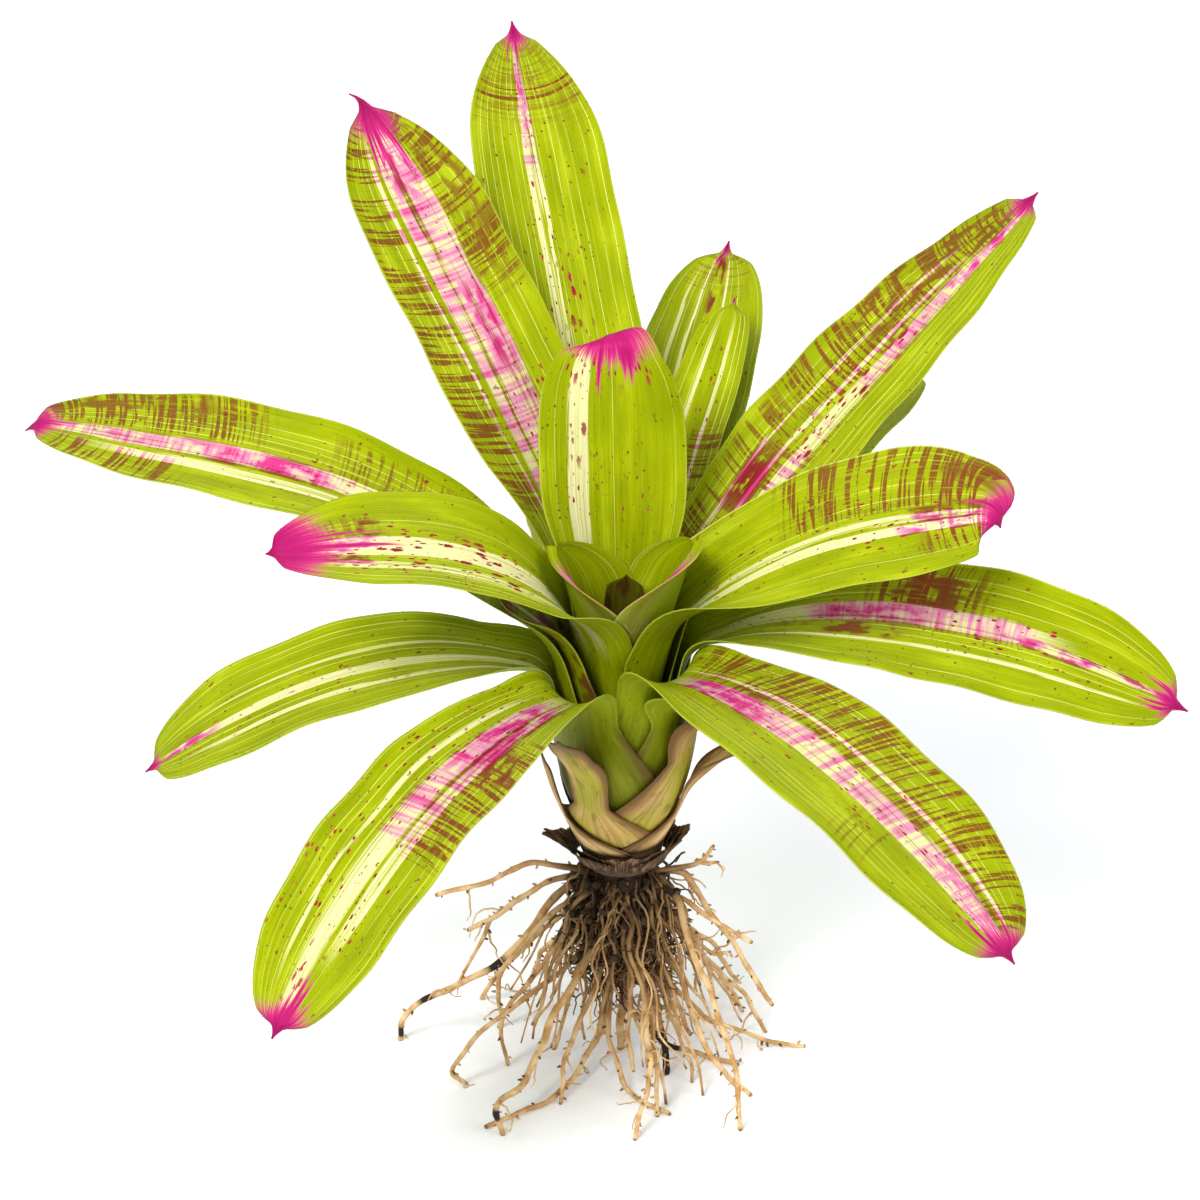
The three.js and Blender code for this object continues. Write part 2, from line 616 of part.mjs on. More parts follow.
function rootGeometry({ radius, route }) {
  const corners = route.map(([x, y, z]) => new THREE.Vector3(x, y, z === 0 ? -FOOT_CUT : z));
  const length = corners.slice(1).reduce((sum, corner, i) => sum + corner.distanceTo(corners[i]), 0);
  const steps = Math.max(route.length - 1, Math.round(length / ROOT_STEP));
  const axes = ['x', 'y', 'z'].map((axis) => corners.map((corner) => corner[axis]));
  const centres = [];
  const radii = [];
  for (let i = 0; i <= steps; i += 1) {
    const t = i / steps;
    centres.push(new THREE.Vector3(...axes.map((values) => spline(values, t))));
    radii.push(radius * (1 + (ROOT_TAPER - 1) * t));
  }
  const [first, last] = [corners[0], corners[corners.length - 1]];
  const side = new THREE.Vector3(first.y - last.y, last.x - first.x, 0);
  if (side.length() < 1) side.set(1, 0, 0);
  return tube(centres, radii, radius > THICK_ROOT ? 5 : 4, side);
}

function toManifold(geometry) {
  return new wasm.Manifold(new wasm.Mesh({
    numProp: 3,
    vertProperties: geometry.attributes.position.array,
    triVerts: new Uint32Array(geometry.index.array),
  }));
}

function fromManifold(solid) {
  const mesh = solid.getMesh();
  const geometry = new THREE.BufferGeometry();
  geometry.setAttribute('position', new THREE.BufferAttribute(mesh.vertProperties, 3));
  geometry.setIndex(new THREE.BufferAttribute(mesh.triVerts, 1));
  return geometry;
}

// All roots and the crown they grow from, as one body with its feet cut flat at the surface.
function rootsGeometry() {
  const crown = tube(
    CROWN_CORE.map((ring) => new THREE.Vector3(0, 0, ring.height)).reverse(),
    CROWN_CORE.map((ring) => ring.radius).reverse(),
    12,
    new THREE.Vector3(1, 0, 0),
  );
  let body = toManifold(crown);
  for (const root of [...MAIN_ROOTS, ...scatteredRoots(BACK_ROOTS), ...scatteredRoots(INNER_ROOTS)]) {
    body = body.add(toManifold(rootGeometry(root)));
  }
  const ground = new THREE.BoxGeometry(300, 300, 20).translate(0, 0, -10);
  ground.deleteAttribute('normal');
  ground.deleteAttribute('uv');
  return fromManifold(body.subtract(toManifold(mergeVertices(ground))));
}

// ---------------------------------------------------------------- the plant
const LEAF_GREEN = { color: 0xa9b94a, roughness: 0.42, metalness: 0 };
const OLD_LEAF = { color: 0xa8a05c, roughness: 0.55, metalness: 0 };
const DRY_LEAF = { color: 0xb29670, roughness: 0.7, metalness: 0 };
const DEAD_HUSK = { color: 0x4a3527, roughness: 0.85, metalness: 0 };
const STEM_TAN = { color: 0x8d7148, roughness: 0.8, metalness: 0 };
const ROOT_TAN = { color: 0xc9a472, roughness: 0.75, metalness: 0 };

const plant = new THREE.Group();
function addPiece(name, geometry, look) {
  const mesh = new THREE.Mesh(geometry, new THREE.MeshStandardMaterial(look));
  mesh.name = name;
  plant.add(mesh);
}

for (const [name, entry] of Object.entries(LEAVES)) {
  const look = name.startsWith('dry') ? DRY_LEAF : name.startsWith('old') ? OLD_LEAF : LEAF_GREEN;
  addPiece(name, solidFromRows(leafRows({ ...LEAF_DEFAULTS, ...entry }), BLADE_THICKNESS), look);
}
for (const [name, entry] of Object.entries(DEAD_BASES)) {
  addPiece(name, solidFromRows(deadBaseRows(entry), BLADE_THICKNESS), DEAD_HUSK);
}
addPiece('stem', stemGeometry(), STEM_TAN);
addPiece('roots', rootsGeometry(), ROOT_TAN);

export default plant;
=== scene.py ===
"""A bare-rooted neoregelia bromeliad, standing on its roots in a plain white studio."""
import math

import bpy
import numpy as np
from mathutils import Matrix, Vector


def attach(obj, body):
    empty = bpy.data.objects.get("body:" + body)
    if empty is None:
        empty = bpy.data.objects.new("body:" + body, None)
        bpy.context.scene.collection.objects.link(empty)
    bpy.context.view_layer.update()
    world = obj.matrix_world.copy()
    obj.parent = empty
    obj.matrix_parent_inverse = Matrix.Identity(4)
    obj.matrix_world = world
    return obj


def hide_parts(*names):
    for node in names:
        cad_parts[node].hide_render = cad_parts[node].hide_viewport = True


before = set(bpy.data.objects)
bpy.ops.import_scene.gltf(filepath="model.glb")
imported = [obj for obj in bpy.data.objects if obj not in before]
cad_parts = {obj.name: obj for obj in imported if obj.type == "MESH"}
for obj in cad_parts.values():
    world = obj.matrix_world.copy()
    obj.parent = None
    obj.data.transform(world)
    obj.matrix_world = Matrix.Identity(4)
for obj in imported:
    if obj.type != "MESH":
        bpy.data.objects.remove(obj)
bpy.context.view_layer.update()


# ------------------------------------------------------------------ studio
# A seamless white floor under broad, soft lights: a high key light at the upper left, a weaker one
# at the right and white surroundings. The camera looks down on the plant from the front.

FLOOR_SIZE = 12.0
FLOOR_WHITE = (0.91, 0.92, 0.94, 1)
FLOOR_SHADOW_LIFTING_GLOW = (0.80, 0.90, 1, 1)
SURROUNDINGS_STRENGTH = 0.5
EXPOSURE = 0.25


def put_in_scene(name, data):
    thing = bpy.data.objects.new(name, data)
    bpy.context.scene.collection.objects.link(thing)
    return thing


half_floor = FLOOR_SIZE / 2
floor_mesh = bpy.data.meshes.new("floor")
floor_mesh.from_pydata(
    [(-half_floor, -half_floor, 0), (half_floor, -half_floor, 0),
     (half_floor, half_floor, 0), (-half_floor, half_floor, 0)],
    [], [(0, 1, 2, 3)])
floor = put_in_scene("floor", floor_mesh)
floor_paint = bpy.data.materials.new("white_floor")
floor_paint.use_nodes = True
floor_shader = floor_paint.node_tree.nodes["Principled BSDF"]
# The floor's faint bluish glow is painted light, which lifts and cools the shadows on it.
for label, value in (("Base Color", FLOOR_WHITE), ("Roughness", 0.9), ("Specular IOR Level", 0.1),
                     ("Emission Color", FLOOR_SHADOW_LIFTING_GLOW), ("Emission Strength", 0.1)):
    floor_shader.inputs[label].default_value = value
floor_mesh.materials.append(floor_paint)

surroundings = bpy.data.worlds.new("white_surroundings")
surroundings.use_nodes = True
background = surroundings.node_tree.nodes["Background"]
background.inputs["Color"].default_value = (1, 1, 1, 1)
background.inputs["Strength"].default_value = SURROUNDINGS_STRENGTH
bpy.context.scene.world = surroundings
bpy.context.scene.view_settings.view_transform = "Standard"
bpy.context.scene.view_settings.exposure = EXPOSURE

LIGHTS = {
    # name: place, size of the square panel, power in watts
    "key_light": ((-1.1, -1.6, 2.1), 1.1, 62),
    "fill_light": ((1.7, -1.2, 1.3), 1.4, 16),
    "back_light": ((0.4, 1.4, 2.4), 1.4, 16),
}
AIM = Vector((-0.0084, 0, 0.199))
for name, (place, size, power) in LIGHTS.items():
    panel = bpy.data.lights.new(name, "AREA")
    panel.size = size
    panel.energy = power
    light = put_in_scene(name, panel)
    light.location = place
    light.rotation_euler = (AIM - Vector(place)).to_track_quat("-Z", "Y").to_euler()

CAMERA_DISTANCE = 1.5
CAMERA_ELEVATION = math.radians(25)
SENSOR_WIDTH = 36
LENS_LENGTH = 118.4
lens = bpy.data.cameras.new("camera")
lens.sensor_width = SENSOR_WIDTH
lens.lens = LENS_LENGTH
camera = put_in_scene("camera", lens)
camera.location = AIM + CAMERA_DISTANCE * Vector(
    (0, -math.cos(CAMERA_ELEVATION), math.sin(CAMERA_ELEVATION)))
camera.rotation_euler = (AIM - camera.location).to_track_quat("-Z", "Y").to_euler()
bpy.context.scene.camera = camera


# ------------------------------------------------------------------ stem
# The short woody stem that every leaf base is wrapped round. Almost nothing of it shows, but
# its foot can be seen from below, so it has a rough brown bark.

STEM_BARK_DARK = (0.03, 0.015, 0.008)
STEM_BARK_LIGHT = (0.16, 0.09, 0.045)


def plug(socket, given):
    """Joins a value to a node's input, or sets the input to a plain number or colour."""
    if isinstance(given, Value):
        socket.id_data.links.new(given.socket, socket)
    elif socket.type == "RGBA":
        socket.default_value = (*given, 1)
    else:
        socket.default_value = given


class Value:
    """What a node gives. Sums, products and steps of values add the nodes that work them out."""

    def __init__(self, socket):
        self.socket = socket

    def through(self, kind, *given, **settings):
        node = self.socket.id_data.nodes.new(kind)
        for setting, choice in settings.items():
            setattr(node, setting, choice)
        for socket, value in zip(node.inputs, (self, *given)):
            plug(socket, value)
        return node

    def math(self, operation, *others):
        return Value(self.through("ShaderNodeMath", *others, operation=operation).outputs[0])

    def __add__(self, other):
        return self.math("ADD", other)

    def __sub__(self, other):
        return self.math("SUBTRACT", other)

    def __mul__(self, other):
        return self.math("MULTIPLY", other)

    def __lt__(self, other):
        return self.math("LESS_THAN", other)

    def __abs__(self):
        return self.math("ABSOLUTE")

    def at_least(self, other):
        return self.math("MAXIMUM", other)

    def step(self, low, high, start=0.0, end=1.0):
        """Goes smoothly from start to end as the value rises from low to high."""
        node = self.through("ShaderNodeMapRange", low, high, start, end, interpolation_type="SMOOTHSTEP")
        return Value(node.outputs[0])

    def parts(self):
        return [Value(part) for part in self.through("ShaderNodeSeparateXYZ").outputs]


class Paint:
    """One material. It starts as a plain colour, and further coats are laid over that."""

    def __init__(self, name, colour, roughness, specular=0.5):
        self.material = bpy.data.materials.new(name)
        self.material.use_nodes = True
        self.nodes = self.material.node_tree.nodes
        self.colour = colour
        self.set("Roughness", roughness)
        self.set("Specular IOR Level", specular)

    def set(self, label, value):
        plug(self.nodes["Principled BSDF"].inputs[label], value)

    def number(self, number):
        node = self.nodes.new("ShaderNodeValue")
        node.outputs[0].default_value = number
        return Value(node.outputs[0])

    def attribute(self, name):
        node = self.nodes.new("ShaderNodeAttribute")
        node.attribute_name = name
        return Value(node.outputs["Vector"]).parts()

    def where(self):
        return Value(self.nodes.new("ShaderNodeTexCoord").outputs["Object"])

    def place(self, x, y, z=0.0):
        node = self.nodes.new("ShaderNodeCombineXYZ")
        for socket, value in zip(node.inputs, (x, y, z)):
            plug(socket, value)
        return Value(node.outputs[0])

    def noise(self, where, scale=1.0, detail=2.0):
        node = self.nodes.new("ShaderNodeTexNoise")
        for label, value in (("Vector", where), ("Scale", scale), ("Detail", detail)):
            plug(node.inputs[label], value)
        return Value(node.outputs[0])

    def cells(self, where, dimensions="2D"):
        """Distance to the nearest of a field of scattered points, and two numbers for that point."""
        node = self.nodes.new("ShaderNodeTexVoronoi")
        node.voronoi_dimensions = dimensions
        plug(node.inputs["W" if dimensions == "1D" else "Vector"], where)
        node.inputs["Scale"].default_value = 1
        luck = self.nodes.new("ShaderNodeSeparateColor")
        plug(luck.inputs[0], Value(node.outputs["Color"]))
        return Value(node.outputs["Distance"]), Value(luck.outputs[0]), Value(luck.outputs[1])

    def mix(self, share, first, second, blend="MIX"):
        node = self.nodes.new("ShaderNodeMix")
        node.data_type = "RGBA"
        node.blend_type = blend
        node.clamp_factor = True
        share_input, first_input, second_input = (node.inputs[i] for i in (0, 6, 7))
        plug(share_input, share)
        plug(first_input, first)
        plug(second_input, second)
        return Value(node.outputs[2])

    def coat(self, share, colour, blend="MIX"):
        """Lays a colour over the paint so far. A share of 0 leaves it bare and 1 hides it."""
        self.colour = self.mix(share, self.colour, colour, blend)

    def finish(self, height=None, depth=0.0):
        """The finished material, with bumps of the given depth in metres where it has a height."""
        self.set("Base Color", self.colour)
        if height is not None:
            bump = self.nodes.new("ShaderNodeBump")
            bump.inputs["Distance"].default_value = depth
            plug(bump.inputs["Height"], height)
            self.set("Normal", Value(bump.outputs[0]))
        return self.material


bark = Paint("stem_bark", STEM_BARK_DARK, 0.85)
bark_grain = bark.noise(bark.where(), 220, 4)
bark.coat(bark_grain, STEM_BARK_LIGHT)
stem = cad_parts["stem"]
stem.data.materials.clear()
stem.data.materials.append(bark.finish(bark_grain, 0.0008))


# ------------------------------------------------------------------ leaves
# Each leaf is one thick-skinned blade. Its broad base is wrapped round the bulb in a layer of its
# own, and from the neck the blade opens, arches and ends in a drawn-out point.

LAYER_STEP = 1.1
LAYER_FOOT = 0.9
STEM_TOP = (6.0, 136.0)
STEM_BASE = (17.0, 96.0)
# The radius of the innermost layer by height. Where it is negative, that layer is still in the stem.
FUNNEL_HEIGHTS = [88, 96, 108, 122, 135, 150, 166, 182, 200, 230]
FUNNEL_RADII = [-12.2, -8.6, -2.8, 2.8, 5.7, 7.6, 9.6, 13.2, 18.5, 27]
FUNNEL_ROUNDING = np.linspace(-6, 6, 9)
FUNNEL_REACH = 4.0
EARLY_BEND = 0.62
HOOK_LENGTH = 9.0
TIP_CURL_LENGTH = 14.0
BASE_STEPS = 48
BLADE_STEPS = 80


def smooth(x):
    t = np.clip(x, 0, 1)
    return t * t * (3 - 2 * t)


def spline(values, t):
    """Uniform Catmull-Rom through the values, t from 0 to 1."""
    last = len(values) - 1
    x = min(max(t, 0), 1) * last
    i = min(int(x), last - 1)
    u = x - i
    a, b, c, d = (values[min(max(j, 0), last)] for j in (i - 1, i, i + 1, i + 2))
    return 0.5 * (2 * b + (c - a) * u + (2 * a - 5 * b + 4 * c - d) * u * u
                  + (3 * b - a - 3 * c + d) * u * u * u)


def sheath_radius(layer, height):
    heights = np.add.outer(FUNNEL_ROUNDING, height)
    return np.interp(heights, FUNNEL_HEIGHTS, FUNNEL_RADII).mean(0) + LAYER_STEP * layer


def layer_base(layer):
    low, high = STEM_BASE[1] - 1, STEM_TOP[1] + 1
    for _ in range(40):
        middle = (low + high) / 2
        stem_radius = np.interp(middle, [STEM_BASE[1], STEM_TOP[1]], [STEM_BASE[0], STEM_TOP[0]])
        if sheath_radius(layer, middle) > stem_radius:
            high = middle
        else:
            low = middle
    return low + LAYER_FOOT


def leaf_frame(lean, azimuth, roll):
    radial = np.array([math.cos(azimuth), math.sin(azimuth), 0])
    around = np.array([-math.sin(azimuth), math.cos(azimuth), 0])
    up = np.array([0, 0, 1.0])
    along = math.sin(lean) * radial + math.cos(lean) * up
    inward = -math.cos(lean) * radial + math.sin(lean) * up
    normal = inward * math.cos(roll) + around * math.sin(roll)
    across = around * math.cos(roll) - inward * math.sin(roll)
    return along, normal, across


def leaf_line(leaf):
    """The centreline: lengths, points and the two directions across it, from foot to tip."""
    azimuth = math.radians(leaf["azimuth"])
    foot = layer_base(leaf["layer"])
    heights = np.linspace(foot, leaf["free"], BASE_STEPS + 1)
    radii = sheath_radius(leaf["layer"], heights)
    points = [np.array([r * math.cos(azimuth), r * math.sin(azimuth), z])
              for r, z in zip(radii, heights)]
    lengths = [0.0]
    frames = []
    for i, z in enumerate(heights):
        below, above = np.interp([z - FUNNEL_REACH, z + FUNNEL_REACH],
                                 FUNNEL_HEIGHTS, FUNNEL_RADII)
        lean = math.atan2(above - below, 2 * FUNNEL_REACH)
        frames.append(leaf_frame(lean, azimuth, 0))
        if i:
            lengths.append(lengths[-1] + float(np.linalg.norm(points[i] - points[i - 1])))
    free_length = lengths[-1]
    free_rise = frames[-1][0][2]
    leans = [math.degrees(lean)] + leaf["arch"]

    def frame_at(t):
        q = t ** EARLY_BEND
        left = (1 - t) * leaf["length"]
        hooked = smooth((HOOK_LENGTH - left) / HOOK_LENGTH)
        curled = smooth((TIP_CURL_LENGTH - left) / TIP_CURL_LENGTH)
        lean = spline(leans, q) + leaf["tip_curl"] * curled
        turn = spline([0] + leaf["turn"], q) + leaf["hook_turn"] * hooked
        roll = spline([0] + leaf["roll"], q)
        return leaf_frame(math.radians(lean + leaf["hook"] * hooked),
                          azimuth + math.radians(turn), math.radians(roll))

    run = leaf["length"] / BLADE_STEPS
    for i in range(1, BLADE_STEPS + 1):
        points.append(points[-1] + frame_at((i - 0.5) / BLADE_STEPS)[0] * run)
        lengths.append(lengths[-1] + run)
        frames.append(frame_at(i / BLADE_STEPS))
    return (np.array(lengths), np.array(points), np.array([f[1] for f in frames]),
            np.array([f[2] for f in frames]), free_length, free_rise)


NECK_REACH = 0.4
SPINE_TIP = 0.35
SPINE_FOOT = 2.6
SPINE_CURVE = 1.6


def half_width(leaf, length, free_length, tip_length, radius):
    blade = tip_length - free_length
    along = (length - free_length) / blade
    half = leaf["width"] / 2
    if along < 0:
        neck = half * leaf["neck"] / sheath_radius(leaf["layer"], leaf["free"])
        foot = math.radians(leaf["wrap"])
        up = length / free_length
        narrowed = (1 - leaf["swing"]) * up ** leaf["narrowing"] + leaf["swing"] * smooth(up)
        return (foot + (neck - foot) * narrowed) * radius
    left = tip_length - length
    body = half * (1 + (leaf["neck"] - 1) * (1 - smooth(along / NECK_REACH)))
    rounding = (left - leaf["spine"]) / (blade * (1 - leaf["full"]) - leaf["spine"])
    rounded = (1 - (1 - min(max(rounding, 0), 1)) ** leaf["blunt"]) ** leaf["point"]
    spine_share = min(max(left, 0) / leaf["spine"], 1.6)
    spine = SPINE_TIP + SPINE_FOOT * spine_share ** SPINE_CURVE
    return body * rounded + spine * (1 - rounded)


BASE_ROW = 3.0
BLADE_ROW = 2.4
TIP_ROW = 0.7
TIP_LENGTH = 24.0
CROWDING = 1.3
TIGHTEST_CURL = 1.35
RIPPLE_HEIGHT = 0.9
LIP_INNER = 0.62
BLADE_THICKNESS = 0.6
MARGIN_THINNING = 0.4


def leaf_surface(leaf, seed):
    """The middle surface as a grid of points, with the place of each point on the leaf."""
    lengths, points, normals, acrosses, free_length, free_rise = leaf_line(leaf)
    tip_length = lengths[-1]
    fine_tip = min(TIP_LENGTH, leaf["length"] * 0.5)
    rows = np.concatenate([
        np.linspace(0, free_length, max(4, round(free_length / BASE_ROW)), endpoint=False),
        np.linspace(free_length, tip_length - fine_tip,
                    max(4, round((leaf["length"] - fine_tip) / BLADE_ROW)), endpoint=False),
        np.linspace(tip_length - fine_tip, tip_length, max(8, round(fine_tip / TIP_ROW)))])
    side = np.sin(np.linspace(-1, 1, leaf["columns"] + 1) * CROWDING) / math.sin(CROWDING)
    azimuth = math.radians(leaf["azimuth"])
    free_radius = sheath_radius(leaf["layer"], leaf["free"])
    rng = np.random.default_rng(seed)
    wave_length, wave_phase = rng.uniform(34, 52), rng.uniform(0, 2 * math.pi, 2)
    grid, places = [], []
    for length in rows:
        centre, normal, across = (
            np.array([np.interp(length, lengths, table[:, i]) for i in range(3)])
            for table in (points, normals, acrosses))
        normal /= np.linalg.norm(normal)
        across /= np.linalg.norm(across)
        past_neck = length - free_length
        height = centre[2] if past_neck <= 0 else leaf["free"] + past_neck * free_rise
        radius = float(sheath_radius(leaf["layer"], height))
        half = half_width(leaf, length, free_length, tip_length, radius)
        along = max(0, past_neck / (tip_length - free_length))
        hollow = math.radians(leaf["channel"]) * min(1, half / (leaf["width"] / 2))
        closed = min(half / free_radius, TIGHTEST_CURL) * (1 - smooth(along / leaf["open"]))
        curl = math.hypot(closed, hollow)
        angle = azimuth + side * half / radius
        wrapped = np.stack([radius * np.cos(angle), radius * np.sin(angle),
                            np.full_like(angle, height)], 1)
        released = smooth((past_neck - leaf["lag"] * side ** 2) / leaf["ease"] + 0.15)
        bend = half / curl
        left = tip_length - length
        wave = np.sin(2 * math.pi * past_neck / wave_length + np.where(side > 0, *wave_phase))
        rippled = smooth((past_neck - 50) / 40) * smooth((left - 12) / 30)
        ripple = RIPPLE_HEIGHT * wave * side ** 2 * rippled
        free = (centre + np.outer(bend * np.sin(side * curl), across)
                + np.outer(bend * (1 - np.cos(side * curl)) + ripple, normal))
        surface = wrapped + (free - wrapped) * released[:, None]
        lip_side, lip_reach = leaf["lip"]
        near_margin = smooth((side * lip_side - LIP_INNER) / (1 - LIP_INNER)) ** 1.5
        turned_out = lip_reach * near_margin * smooth((past_neck - 5) / 14)
        surface += turned_out[:, None] * np.stack([np.cos(angle), np.sin(angle), 0 * angle], 1)
        grid.append(surface)
        places.append(np.stack([side * leaf["width"] / 2, np.full_like(side, past_neck),
                                np.full_like(side, left)], 1))
    return np.array(grid), np.array(places), side


def thick_mesh(name, grid, thickness):
    """A closed skin of the given thickness over a grid. The upper face's points come first."""
    row_count, column_count = grid.shape[:2]
    rise = np.gradient(grid, axis=0)
    run = np.gradient(grid, axis=1)
    normal = np.cross(rise, run)
    normal /= np.maximum(np.linalg.norm(normal, axis=2, keepdims=True), 1e-9)
    offset = normal * thickness[..., None] / 2
    points = np.concatenate([(grid + offset).reshape(-1, 3), (grid - offset).reshape(-1, 3)]) / 1000
    number = np.arange(row_count * column_count).reshape(row_count, column_count)
    below = row_count * column_count
    a, b, c, d = number[:-1, :-1], number[:-1, 1:], number[1:, 1:], number[1:, :-1]
    upper = np.stack([a, d, c, b], -1).reshape(-1, 4)
    lower = np.stack([a, b, c, d], -1).reshape(-1, 4) + below
    rim = np.concatenate([number[0, :], number[1:, -1], number[-1, -2::-1], number[-2:0:-1, 0]])
    beyond = np.roll(rim, -1)
    wall = np.stack([rim, beyond, beyond + below, rim + below], -1)
    mesh = bpy.data.meshes.new(name)
    mesh.from_pydata(points.tolist(), [], np.concatenate([upper, lower, wall]).tolist())
    mesh.shade_smooth()
    return mesh


def set_attribute(mesh, name, values):
    attribute = mesh.attributes.new(name, "FLOAT_VECTOR", "POINT")
    attribute.data.foreach_set("vector", np.asarray(values, np.float32).reshape(-1))


def leaf_mesh(name, leaf, seed, thinning=0.0):
    """The closed blade, with where each point lies on it. The centre columns stay the thickest."""
    grid, places, side = leaf_surface(leaf, seed)
    thinner = thinning * side[None, :] ** 2 * smooth(places[..., 1] / 40)
    mesh = thick_mesh(name, grid, BLADE_THICKNESS * (1 - thinner))
    place = places.reshape(-1, 3)
    skin = np.stack([np.zeros(len(place)), np.tile(np.abs(side), len(grid)),
                     place[:, 1] / leaf["length"]], 1)
    set_attribute(mesh, "place", np.concatenate([place, place]))
    set_attribute(mesh, "skin", np.concatenate([skin, skin + (1, 0, 0)]))
    return mesh, grid, places[:, 0, 1]


def piece_from(name, mesh, material, node=None):
    """A finished piece of the plant, which takes the place of its node where it has one."""
    mesh.materials.clear()
    mesh.materials.append(material)
    piece = put_in_scene(name, mesh)
    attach(piece, "root")
    if node:
        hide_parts(node)


# turn, roll: degrees at four places along the blade, sideways and about its own line
# wrap: degrees round the bulb from the middle of the foot to each margin
# narrowing, swing: the power by which that gives way to the neck, the share that eases in and out
# neck, open: width of the neck against the blade, share of the blade along which it unrolls
# lag, ease: mm by which the margins leave the bulb after the middle, mm taken to leave it
# full, blunt, point, spine: where the end starts to round off, two powers of that, mm of thin point
# channel, tip_curl, hook, hook_turn: degrees of hollow, and of bend near the tip
# lip: the side whose margin turns outward, by how many mm
LEAF_DEFAULTS = dict(
    turn=[0, 0, 0, 0], roll=[0, 0, 0, 0], wrap=100, narrowing=1.3, swing=0.55, neck=0.86, open=0.45,
    lag=12, ease=26, channel=18, full=0.5, blunt=3.5, point=0.65, spine=5, tip_curl=0, hook=0,
    hook_turn=0, lip=(1, 0), columns=32, tone=None, stripes=(), tints=(), tip=0, spots=0.0, lines=0.5,
    aged=0.0, rim=None)


def leaf(azimuth, free, length, width, arch, **own):
    """One leaf: the way it points, the height of its neck on the bulb, the length and width of its
    blade, its lean from upright at four places along that, and what else is its own."""
    return {**LEAF_DEFAULTS, **own, "azimuth": azimuth, "free": free, "length": length,
            "width": width, "arch": arch}


